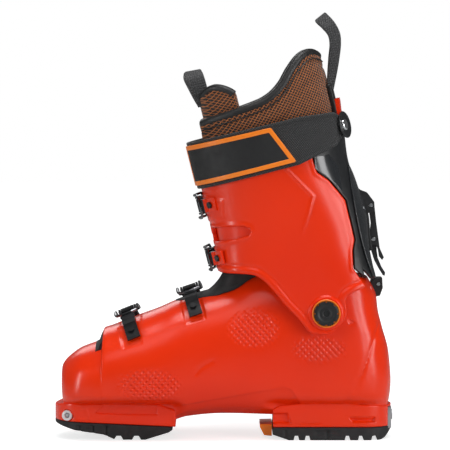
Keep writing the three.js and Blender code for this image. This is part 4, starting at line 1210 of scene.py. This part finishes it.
def cuff():
    rim = curve_points(CUFF_RIM, 6)
    skin = Skin.grid(leg_point_rows(np.linspace(-32, 151, 190), even_angles(330, 3.0)), flip=True)
    plane = skin.co[:, [0, 2]]
    value = inside_distance(plane, np.vstack([rim, SPINE_EDGE, [[-150, 242], [-125, 150.7]]])) - 1.1
    slot = np.where(skin.co[:, 1] < SLOT_SIDE, -inside_distance(plane, RELIEF_SLOT) - 0.9, 5.0)
    solid = skin.clip(np.minimum(value, slot)).thicken(CUFF_WALL, 1.1)
    outside = np.arange(len(solid.co)) < solid.outer

    def height(co, n):
        plane = co[:, [0, 2]]
        lip = line_distance(plane, rim)
        push = 1.0 * (1 - smooth(4.2, 6.6, lip)) * smooth(-1, 2, lip)
        push -= 0.45 * np.exp(-((lip - 7.4) / 0.9) ** 2)
        push += 0.5 * (1 - smooth(2.6, 4.2, line_distance(plane, SPINE_EDGE)))
        push += 1.3 * np.exp(-(line_distance(plane, EMBOSSED_LINE) / 1.1) ** 2) * smooth(184, 204, co[:, 2])
        slot = -inside_distance(plane, RELIEF_SLOT)
        push += 0.5 * (1 - smooth(2.2, 4.0, slot)) * (co[:, 1] < SLOT_SIDE)
        for cz, high in RACK_SEATS:
            seat = inside_distance(plane, [[-130, cz - high], [-99, cz - high], [-91, cz - high + 5],
                                           [-92, cz + high - 3], [-101, cz + high], [-130, cz + high]])
            push += 0.9 * smooth(-0.6, 1.4, seat) * (co[:, 1] < 0)
        push *= smooth(15, 19, pivot_reach(co))
        wall = np.abs(n[:, 1]) + np.abs(n[:, 0]) > 0.2
        return np.where(outside, push, np.where(lip < 5, push * 0.4, 0)) * wall

    build("cuff_wall", solid, RED, "cuff", "shell_plastic", "cuff_shell", shade=None, height=height)


def spine():
    """Black rear spine: its wall, the flange under the red cuff, and the glossy parts on it."""
    def edge(shift):
        return [[x + shift, z] for x, z in SPINE_EDGE]

    def hollow(co):
        """Clears the heel of the lower shell and the window of the walk lever."""
        reach = np.maximum(pivot_reach(co) - HEEL_ROOM, np.abs(co[:, 1]) - HEEL_ROOM_HALF)
        window = np.maximum(np.abs(co[:, 1]) - WINDOW_HALF, co[:, 2] - WINDOW_TOP)
        return np.minimum(np.minimum(reach, window), SPINE_TOP - to_shaft(co)[:, 1])

    def beside_lever(co):
        return np.abs(co[:, 1]) - LEVER_HALF

    def rib(co, n):
        across = np.exp(-((np.abs(co[:, 1]) - 19.5) / 1.2) ** 2)
        push = 0.8 * across * smooth(168, 176, co[:, 2]) * (1 - smooth(262, 272, co[:, 2]))
        return push * (co[:, 0] > 18) * (n[:, 0] > 0.2)

    panel("spine_wall", [[37.5, 146.2]] + edge(0.7) + [[20, 300], [90, 300], [90, 146.2]], (0, 164), 0.2,
          0.8, 3.0, 0.8, BLACK, "spine", side=hollow, height=rib)
    panel("spine_flange", [[39, 148.2]] + edge(-8.6) + [[12, 300], [90, 300], [90, 148.2]], (0, 163), 4.7,
          0.4, 1.7, 0.3, BLACK, steps=2, count=240, side=hollow, rise=1.5)
    blade = [[20.7, 251], [23.9, 224], [28.3, 197.5], [35.6, 168], [43.0, 149], [45.6, 149], [40.4, 168],
             [39.4, 186], [38.3, 204], [34.6, 217], [31, 226], [26, 240]]
    panel("spine_blade", curve_points(blade + blade[:1], 8)[:-1], (10, 160), -1.7,
          0.7, 2.2, 0.7, GLOSS_BLACK, count=420, side=beside_lever, rise=0.8)
    panel("spine_channel", [[20, 170], [60, 170], [60, 214], [20, 214]], (40, 110), -2.4,
          0.4, 2.8, 0.5, BLACK, steps=3, side=lambda co: np.minimum(8.4 - np.abs(co[:, 1]), co[:, 0]))
    corner = [[-10.4, 245], [-1.5, 239.4], [9.5, 229.5], [15.5, 222], [12, 246], [3, 258], [-11, 256]]
    panel("spine_corner", corner, (90, 150), -0.1,
          0.5, 0.9, 0.35, GLOSS_BLACK, steps=3, count=420, side=beside_lever, rise=0.8)


cuff()
panel("relief_flap", [[-112, 169], [-63, 170], [-61, 186], [-63, 203], [-112, 204]], (40, 112), CUFF_WALL + 0.2,
      0, 1.5, 0.4, RED, "cuff_flap", slot="shell_plastic", steps=2, count=260,
      side=lambda co: SLOT_SIDE - co[:, 1])
spine()


# ---------------------------------------------------------------- cuff pivots
SIDES = ((-1, "medial"), (1, "lateral"))
DIAL_NOTCHES = 8
RIVET_HEIGHT = 158.7
RIVET_Y = 24.0
# profiles are (distance from the middle plane or along the rivet, radius)
BOSS = [(46.5, 0), (46.5, 16.4), (50.9, 16.3), (51.5, 15.7), (52.3, 15.3), (52.9, 14.6), (53.1, 13.9),
        (53.1, 13.0), (52.7, 12.8), (52.7, 0)]
RING = [(52.4, 0), (52.4, 12.7), (55.0, 12.7), (55.4, 12.3), (55.4, 11.6), (55.0, 11.25), (54.4, 11.2),
        (54.4, 0)]
DIAL = [(50, 0), (50, 4.8), (54.45, 4.8), (54.45, 10.9), (56.6, 11.0), (57.2, 10.7), (57.5, 10.0), (57.5, 7.6),
        (57.2, 7.0), (56.9, 6.6), (56.9, 4.6), (57.1, 4.2), (57.1, 3.4), (56.8, 3.0), (55.6, 2.8), (55.6, 0)]
WASHER = [(-2, 0), (-2, 3), (4.1, 3), (4.1, 11.3), (4.7, 12.2), (5.4, 12.2), (5.9, 11.6), (5.6, 10.2),
          (4.9, 8.6), (4.7, 6.0), (4.7, 0)]
DOME = [(4.0, 0), (4.0, 5.2), (5.4, 5.2), (6.0, 4.7), (6.5, 3.6), (6.75, 2.2), (6.8, 0)]


def notched(turn, radius):
    """Share of the radius that is left where the dial's rim has its notches."""
    return 1 - (0.105 * smooth(0.72, 0.93, np.cos(turn * DIAL_NOTCHES)) if radius > 9 else 0)


def pivots():
    centre = (0, 0, PIVOT_Z)
    for side, name in SIDES:
        build(name + "_boss", turned(BOSS, centre, side, 72), RED, "cuff", "shell_plastic")
        build(name + "_ring", turned(RING, centre, side, 72), ORANGE, "cuff", "accent_plastic",
              name + "_pivot_ring")
        build(name + "_dial", turned(DIAL, centre, side, 128, notched), BLACK, "cuff", "black_plastic",
              name + "_pivot_bolt")


def strap_rivets():
    """Rivets at the rear ends of the strap, each on the line that stands square to the leg there."""
    row = leg_values([RIVET_HEIGHT])[0]
    rear, half, power = row[2] - LEG_WIDEST, row[3], row[4]
    along = rear * (1 - (RIVET_Y / half) ** power) ** (1 / power)
    slope = np.array([along ** (power - 1) / rear ** power, RIVET_Y ** (power - 1) / half ** power])
    slope /= np.linalg.norm(slope)
    x, z = from_shaft(LEG_WIDEST + along, RIVET_HEIGHT)
    for side, name in SIDES:
        axis = np.array([BACK[0] * slope[0], side * slope[1], BACK[1] * slope[0]])
        centre = np.array([x, side * RIVET_Y, z])
        build(name + "_washer", lathe(WASHER, centre, axis, 64), BLACK, "cuff", "black_plastic")
        build(name + "_dome", lathe(DOME, centre, axis, 48), CHROME, "cuff", "bright_steel",
              name + "_strap_rivet")


pivots()
strap_rivets()


# ---------------------------------------------------------------- power strap
STRAP_OUTLINE = [[-100, 134], [9, 135], [46, 143], [54, 150], [58, 158], [57, 166], [50, 172], [19, 175.5],
                 [-100, 176.5]]
PATCH_OUTLINE = [[-100, 137], [7, 138], [-8.2, 172.9], [-100, 174]]
PATCH_EDGE = -7.0


def strap():
    """Webbing round the shaft, and the bordered patch on its medial side."""
    fine = dict(shaft=True, count=420, rise=0.7, power=2.3)

    def selvage(co, n):
        d = inside_distance(to_shaft(co), STRAP_OUTLINE)
        push = 0.35 * (1 - smooth(2.2, 3.0, d)) - 0.25 * np.exp(-((d - 3.6) / 0.5) ** 2)
        return np.where(n[:, 1] * np.sign(co[:, 1]) > -0.2, push, 0)

    def medial(co):
        return PATCH_EDGE - co[:, 1]

    panel("power_strap_webbing", STRAP_OUTLINE, (130, 180), -3.0, 0.7, 2.3, 0.7, STRAP, "power_strap",
          slot="webbing", steps=3, height=selvage, **fine)
    panel("strap_patch_face", PATCH_OUTLINE, (132, 178), -4.5, 1.5, 1.1, 0.4, PATCH, "strap_patch",
          slot="strap_patch", steps=2, side=medial, **fine)
    panel("strap_patch_border", PATCH_OUTLINE, (132, 178), -4.8, 0.5, 1.3, 0.5, ORANGE,
          slot="strap_patch", steps=3, band=3.6, side=medial, **fine)


strap()



# ---------------------------------------------------------------- liner
LINER_TOP = curve_points([[-90, 190], [-64, 193], [-22, 196.4], [-3, 200.4], [11, 209], [21.4, 220], [32, 229],
                          [40, 231.6], [47, 228.5], [53, 219], [60, 204]])
TONGUE_TOP = curve_points([[-90, 206], [-62, 216], [-54, 220], [-46, 220.4], [-36, 214.6], [-28.4, 205.4],
                           [-23, 197]])
PAD_ROWS = 70


def leg_at(s, angle, inset, front_inset):
    """Points round the leg at heights up the shaft, and how far back along the shaft they reach."""
    s, angle, inset, front_inset = np.broadcast_arrays(s, angle, inset, front_inset)
    row = leg_values(s.ravel())
    along, across = oval(angle.ravel(), row[:, 2] - inset.ravel() - LEG_WIDEST,
                         LEG_WIDEST - row[:, 1] - front_inset.ravel(), row[:, 3] - inset.ravel(),
                         row[:, 4], row[:, 4])
    x, z = from_shaft(LEG_WIDEST + along, s.ravel())
    return np.column_stack([x, across, z]), LEG_WIDEST + along


def top_line(table, angles, inset, front_inset):
    """Heights at which the leg meets a line drawn in side view, found by closing in on it."""
    s = np.full(len(angles), 200.0)
    for _ in range(25):
        _, r = leg_at(s, angles, inset, front_inset)
        s = 0.5 * s + 0.5 * np.interp(r, table[:, 0], table[:, 1])
    return s


def padded_wall(angles, low_at, top, inset, thick, front_shift):
    """Closed pad round part of the leg: its section at each angle is a tall loop with a round head."""
    rings = []
    half = thick / 2
    arc = np.linspace(0, math.pi, 11)[1:-1]
    for angle, high, low in zip(angles, top, low_at):
        up = np.linspace(low, high - half, PAD_ROWS)
        outer = np.column_stack([np.full(PAD_ROWS, inset), up])
        head = np.column_stack([inset + half - half * np.cos(arc), high - half + half * np.sin(arc)])
        inner = np.column_stack([np.full(PAD_ROWS, inset + thick), up[::-1]])
        loop = np.vstack([outer, head, inner])
        rings.append(leg_at(loop[:, 1], angle, loop[:, 0], loop[:, 0] + front_shift)[0])
    return loft(rings)



def front_angle(width, inset, s=150.0):
    """Angle at which the front of the leg is so far from the middle plane."""
    row = leg_values([s])[0]
    return math.pi - math.asin((width / (row[3] - inset)) ** (row[4] / 2))


def groove(distance, depth, wide):
    return depth * np.exp(-(distance / wide) ** 2)


def piping(name, top, drop, angles, inset, front_inset, radius, sides, ends):
    """Cord along a pad's top line, a drop below it, without the points next to its ends."""
    line, _ = leg_at(top - drop, angles, inset, front_inset)
    build(name, tube(line[ends:-ends], radius, sides), LEATHER, "cuff", "liner_fabric")


def collar():
    edge = front_angle(17.5, 11.5)
    spread = even_angles(400)
    spread = np.where(spread > math.pi, spread - 2 * math.pi, spread)
    angles = np.sort(np.concatenate([spread[np.abs(spread) < edge], [-edge, edge]]))
    top = top_line(LINER_TOP, angles, 11.5, 12.2)
    _, r = leg_at(np.full(len(angles), 60.0), angles, 11.5, 12.2)
    low = np.maximum(np.sqrt(np.maximum(62.5 ** 2 - r ** 2, 0)), np.interp(r, [-90, -30, 60], [67, 42, 42]))

    def height(co, n):
        r, s = to_shaft(co).T
        below = np.interp(r, LINER_TOP[:, 0], LINER_TOP[:, 1]) - s
        channel = groove(below - 8.5, -0.9, 1.1) - groove(below - 27, 0.7, 1.3)
        puff = 0.7 * np.sin(np.clip((below - 8.5) / 18.5, 0, 1) * math.pi)
        return np.where(s > 150, channel + puff, 0) * 0.8

    pad = padded_wall(angles, low, top, 8.3, 6.5, 0.6)
    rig.padded(build("liner_collar", pad, LINER, "cuff", "liner_fabric", "liner_cuff", shade=None,
                    height=height), fill=0.8)
    piping("liner_piping", top, 2.6, angles, 11.4, 12.1, 3.95, 16, 2)
    piping("liner_seam", top, 8.6, angles, 7.9, 8.5, 0.55, 8, 3)


def tongue():
    swing = math.pi - front_angle(33.5, 18.6, 180)
    angles = math.pi + np.linspace(-swing, swing, 90)
    top = top_line(TONGUE_TOP, angles, 18.6, 19.8)

    def height(co, n):
        s, across = to_shaft(co)[:, 1], np.abs(co[:, 1])
        return groove(across - 24, -0.8, 1.1) - groove(s % 22 - 11, 0.6, 1.0) * (across < 24)

    pad = padded_wall(angles, np.full(len(angles), 75.0), top, 16.0, 5.2, 1.0)
    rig.padded(build("liner_tongue_pad", pad, LINER, "cuff", "liner_fabric", "liner_tongue", shade=None,
                    height=height), fill=0.7)
    piping("tongue_piping", top, 2.2, angles, 18.6, 19.6, 3.4, 16, 1)


def heel_tab():
    """Folded black tab sewn on the liner just above the rear rivets, and the panel it is sewn to."""
    ring = rounded_slab(-11, 11, 2.0, 1.8, 5)
    fold = [[(5.2 - 0.6 * t + a, b, 308.5 + 8 * t) for a, b in ring] for t in np.linspace(0, 1, 12)]
    build("rear_tab_fold", loft(fold), LEATHER, "cuff", "liner_fabric")
    panel("rear_liner_panel", [[20, 150], [90, 150], [90, 196], [20, 199]], (146, 202), 4.1,
          0.8, 4.4, 1.0, LEATHER, slot="liner_fabric", steps=3, shaft=True,
          side=lambda co: 17.0 - np.abs(co[:, 1]))


collar()
tongue()
heel_tab()



# the liner foot ends on circles round the ankle axis, below a slanted line ahead of it
FOOT_LINER_REAR = 50.6
FOOT_LINER_FRONT = 60.0
FOOT_LINER_SLANT = 0.5425
NUT_ROOM = 11.2


def liner_foot():
    rows = foot_point_rows(section_steps(3, [7] * (len(FOOT_SECTIONS) - 4)), even_angles(120), 6.0, 6.5)
    skin = Skin.grid(closed_nose(rows, (0.03, 0.4, 0.75)))
    skin.co[:, 2] = np.maximum(skin.co[:, 2], board_top(skin.co[:, 0]) + 0.5)
    x, z = skin.co[:, 0], skin.co[:, 2]
    above = np.where(x <= 0, (z - (PIVOT_Z - FOOT_LINER_SLANT * x)) * 0.879, z - PIVOT_Z)
    reach = pivot_reach(skin.co)
    circle = np.where(x > 6, FOOT_LINER_REAR, FOOT_LINER_FRONT) - reach
    nut = np.where(np.abs(skin.co[:, 1]) > 30, reach - NUT_ROOM, 9)
    solid = skin.clip(np.minimum(np.maximum(-above, circle), nut)).thicken(6.4, 1.6, steps=3)
    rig.padded(build("liner_bootie", solid, LINER, "shell", "liner_fabric", "liner_foot", shade=None), fill=0.7)


def insole():
    rows = []
    for k in np.linspace(3.2, 15.6, 90):
        ring = foot_point_rows([k], np.linspace(0, 2 * math.pi, 240, endpoint=False), 13.6, 6)[0]
        x = ring[:, 0].mean()
        near = np.abs(ring[:, 2] - (board_top(x) + 12)) < 14
        rows.append((x, np.abs(ring[near, 1]).max() if near.any() else 0))
    rows = np.array(sorted(rows))
    xs = np.linspace(-222, 44, 130)
    half = np.interp(xs, rows[:, 0], rows[:, 1])
    nose = np.sqrt(np.clip(1 - ((xs + 190) / 33) ** 2, 0, 1))
    tail = np.sqrt(np.clip(1 - ((xs - 12) / 33) ** 2, 0, 1))
    half = np.where(xs < -190, np.minimum(half, 34 * nose + 0.3), half)
    half = np.where(xs > 12, np.minimum(half, 27 * tail + 0.3), half) - 1.2
    half = np.clip(half, 0.6, 33)
    co, faces = block_along_x(xs, lambda x: float(np.interp(x, xs, half)), lambda x: board_top(x) + 8.9 - 3.0,
                              lambda x: board_top(x) + 8.9, 1.2)
    share = np.abs(co[:, 1]) / np.maximum(np.interp(co[:, 0], xs, half), 1)
    co[:, 2] += 1.4 * smooth(0.72, 1.0, share) * smooth(-60, 10, co[:, 0])
    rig.padded(build("footbed", (co, faces), FOAM, "shell", "foam", "insole"), fill=0.5)



liner_foot()
insole()


# ---------------------------------------------------------------- webbing pull loops
LOOP_STEP = 0.55
LOOP_RIB = 2.3
# shares of the band's width at which it has points, closer at its two edges
LOOP_ACROSS = np.array([0.0, 0.012, 0.05, 0.1, 0.2, 0.35, 0.5, 0.65, 0.8, 0.9, 0.95, 0.988, 1.0])


def unit(rows):
    return rows / np.linalg.norm(rows, axis=1)[:, None]


def webbing_loop(name, near_edge, far_edge, depth, thick, replaced):
    """Band whose two edges are drawn in side view; it climbs on one side and comes down on the other."""
    y = curve_points(np.column_stack([depth, depth]), 24)[:, 0]
    y = np.concatenate([y, -y[-2::-1]])
    edges = []
    for edge in (near_edge, far_edge):
        line = curve_points(edge, 24)
        line = np.vstack([line, line[-2::-1]])
        edges.append(np.column_stack([line[:, 0], y, line[:, 1]]))
    middle = (edges[0] + edges[1]) / 2
    length = np.concatenate([[0], np.cumsum(np.linalg.norm(np.diff(middle, axis=0), axis=1))])
    at = np.arange(0, length[-1], LOOP_STEP)
    left, right = [np.column_stack([np.interp(at, length, edge[:, k]) for k in range(3)]) for edge in edges]
    wide = right - left
    normal = unit(np.cross(unit(np.gradient((left + right) / 2, axis=0)), wide))
    for _ in range(6):
        normal[1:-1] = (normal[:-2] + 2 * normal[1:-1] + normal[2:]) / 4
        normal = unit(normal)
    rings = []
    edge = np.clip(np.minimum(LOOP_ACROSS, 1 - LOOP_ACROSS) / 0.05, 0, 1) ** 0.5
    for i, rib in enumerate(0.16 * np.sin(2 * math.pi * at / LOOP_RIB)):
        up = thick / 2 * (0.5 + 0.5 * edge) + rib * (edge > 0.9)
        flat = left[i] + np.outer(LOOP_ACROSS, wide[i])
        rings.append(np.vstack([flat + np.outer(up, normal[i]), (flat - np.outer(up, normal[i]))[::-1]]))
    build(name, loft(rings), WEBBING, "cuff", "webbing", replaced, shade=60)



webbing_loop("rear_pull_loop",
             [[1.6, 312], [2.7, 332], [3.6, 345], [4.6, 356], [3.2, 364], [-2, 370.4], [-7.6, 375.4],
              [-8.6, 377.2]],
             [[6.8, 311], [11, 332], [13.2, 346], [14.2, 357], [13.2, 366.5], [8.6, 375.6], [2.2, 383.0],
              [0.6, 384.6]],
             [-12.4, -12.6, -12.9, -13.0, -12.9, -12.0, -7.0, 0.0], 1.7, "rear_loop")
webbing_loop("front_pull_loop",
             [[-114.3, 299], [-119, 307], [-124, 316.5], [-127.6, 324], [-127.6, 329], [-126.4, 330.6]],
             [[-102.5, 303], [-104.8, 311], [-107.2, 320], [-109.6, 328], [-111.6, 332.2], [-112.4, 333.2]],
             [-9.8, -10.0, -10.2, -9.6, -5.4, 0.0], 1.6, "front_loop")


# ---------------------------------------------------------------- soft seal over the instep
def instep_height(points):
    """Height of the lower shell's top surface over plan points near the instep."""
    grid = foot_point_rows(np.linspace(9, 16, 240), np.linspace(-0.95, 0.95, 121)).reshape(-1, 3)
    out = []
    for x, y in points:
        away = np.hypot(grid[:, 0] - x, grid[:, 1] - y)
        near = np.argsort(away)[:4]
        weight = 1 / (away[near] + 0.05)
        out.append((grid[near, 2] * weight).sum() / weight.sum())
    return np.array(out)


def gaiter():
    """Rubber sleeve from the instep, round the entry slot, up into the front of the cuff."""
    turn = np.radians(np.linspace(-90, 90, 61))
    low = np.column_stack([-92 - 43 * np.cos(turn), 22.6 * np.sign(turn) * np.abs(np.sin(turn)) ** 0.8])
    high = np.column_stack([-76 - 14 * np.cos(turn), 23.5 * np.sin(turn)])
    back = np.linspace(1, 0, 14)[:-1, None]
    low = np.vstack([low[0] + back * [33, 0], low, low[-1] + back[::-1] * [33, 0]])
    high = np.vstack([high[0] + back * [17, 0], high, high[-1] + back[::-1] * [17, 0]])
    low = np.column_stack([low, instep_height(low) + 0.6])
    high = np.column_stack([high, np.full(len(high), 155.0)])
    bend = np.column_stack([0.25 * low[:, 0] + 0.75 * high[:, 0], (low[:, 1] + high[:, 1]) / 2,
                            low[:, 2] + 1.6])
    rows = np.array([low * (1 - t) ** 2 + bend * 2 * t * (1 - t) + high * t * t
                     for t in np.linspace(0, 1, 40)])
    flat = rows.reshape(-1, 3)
    front = flat[:, 0] < -104
    flat[front, 2] = np.maximum(flat[front, 2], instep_height(flat[front, :2]) + 0.6)
    obj = make_object("instep_seal", *Skin.grid(rows, wrap=False).thicken(1.0, 0.4, steps=2), RUBBER, 60)
    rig.blend(obj, "shell", "cuff", start=(-0.095, 0, 0.134), end=(-0.092, 0, 0.152))
    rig.slot(obj, "sole_rubber")
    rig.replaces(obj, "throat_gaiter")


def toe_seal():
    """Low rubber lip where the instep plate's front edge meets the toe cap."""
    turn = np.linspace(-0.62, 0.62, 81)
    base = foot_point_rows([5.0, 5.35, 6.0], turn, -0.25)
    crest = foot_point_rows([7.05], turn, 0.5)[0]
    inward = np.array([3.0, 0, -3.0])
    rings = [[front, middle + [0, 0, 0.5], back + (top - back) * 0.55 + [-1.6, 0, 0], top, top + inward,
              front + inward] for front, middle, back, top in zip(*base, crest)]
    build("toe_seal", loft(rings), RUBBER, "shell", "sole_rubber", shade=60)



gaiter()
toe_seal()


# ---------------------------------------------------------------- CAD pieces that keep their shape
# node: its material, and the width of its softened edges in millimetres
KEPT = {
    "walk_bracket": (COATED, 0.5), "walk_lever": (COATED, 0.6), "walk_lever_pin": (STEEL, 0.2),
    "lock_bar": (DARK_STEEL, 0.4), "lock_bar_pin": (STEEL, 0.2), "lock_strike": (COATED, 0.4),
    "lock_strike_pin": (CHROME, 0.2), "rear_tab": (RED, 0.5), "heel_insert": (STEEL, 0.4),
    "heel_insert_screw": (STEEL, 0.25), "boot_board": (FOAM, 0.5),
    "medial_pivot_nut": (STEEL, 0.3), "lateral_pivot_nut": (STEEL, 0.3)}
BUCKLE_PARTS = {"rack": (ANODISED, 0.3), "buckle_base": (ANODISED, 0.3), "lever": (ANODISED, 0.5),
                "bail": (DARK_CHROME, 0.2), "rack_rivet": (ANODISED, 0.25), "buckle_pin": (STEEL, 0.2)}
for buckle in ("toe", "instep", "lower_cuff", "upper_cuff"):
    KEPT.update({buckle + "_" + part: look for part, look in BUCKLE_PARTS.items()})
for node, look in KEPT.items():
    if node in frame["nodes"] and not frame["nodes"][node].hide_render:
        dress(node, *look)
# the cuff's racks have black teeth on a base of the cuff's red, which lies beyond this y in metres
RACK_BASE_Y = -0.0215
for node in ("lower_cuff_rack", "upper_cuff_rack"):
    mesh = frame["nodes"][node].data
    mesh.materials.append(RED)
    for face in mesh.polygons:
        face.material_index = 1 if face.center.y < RACK_BASE_Y else 0


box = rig.bounds()
json.dump({"cad": [list(map(float, c)) for c in CAD_BOX], "visual": [list(map(float, c)) for c in box]},
          open("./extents.json", "w"))
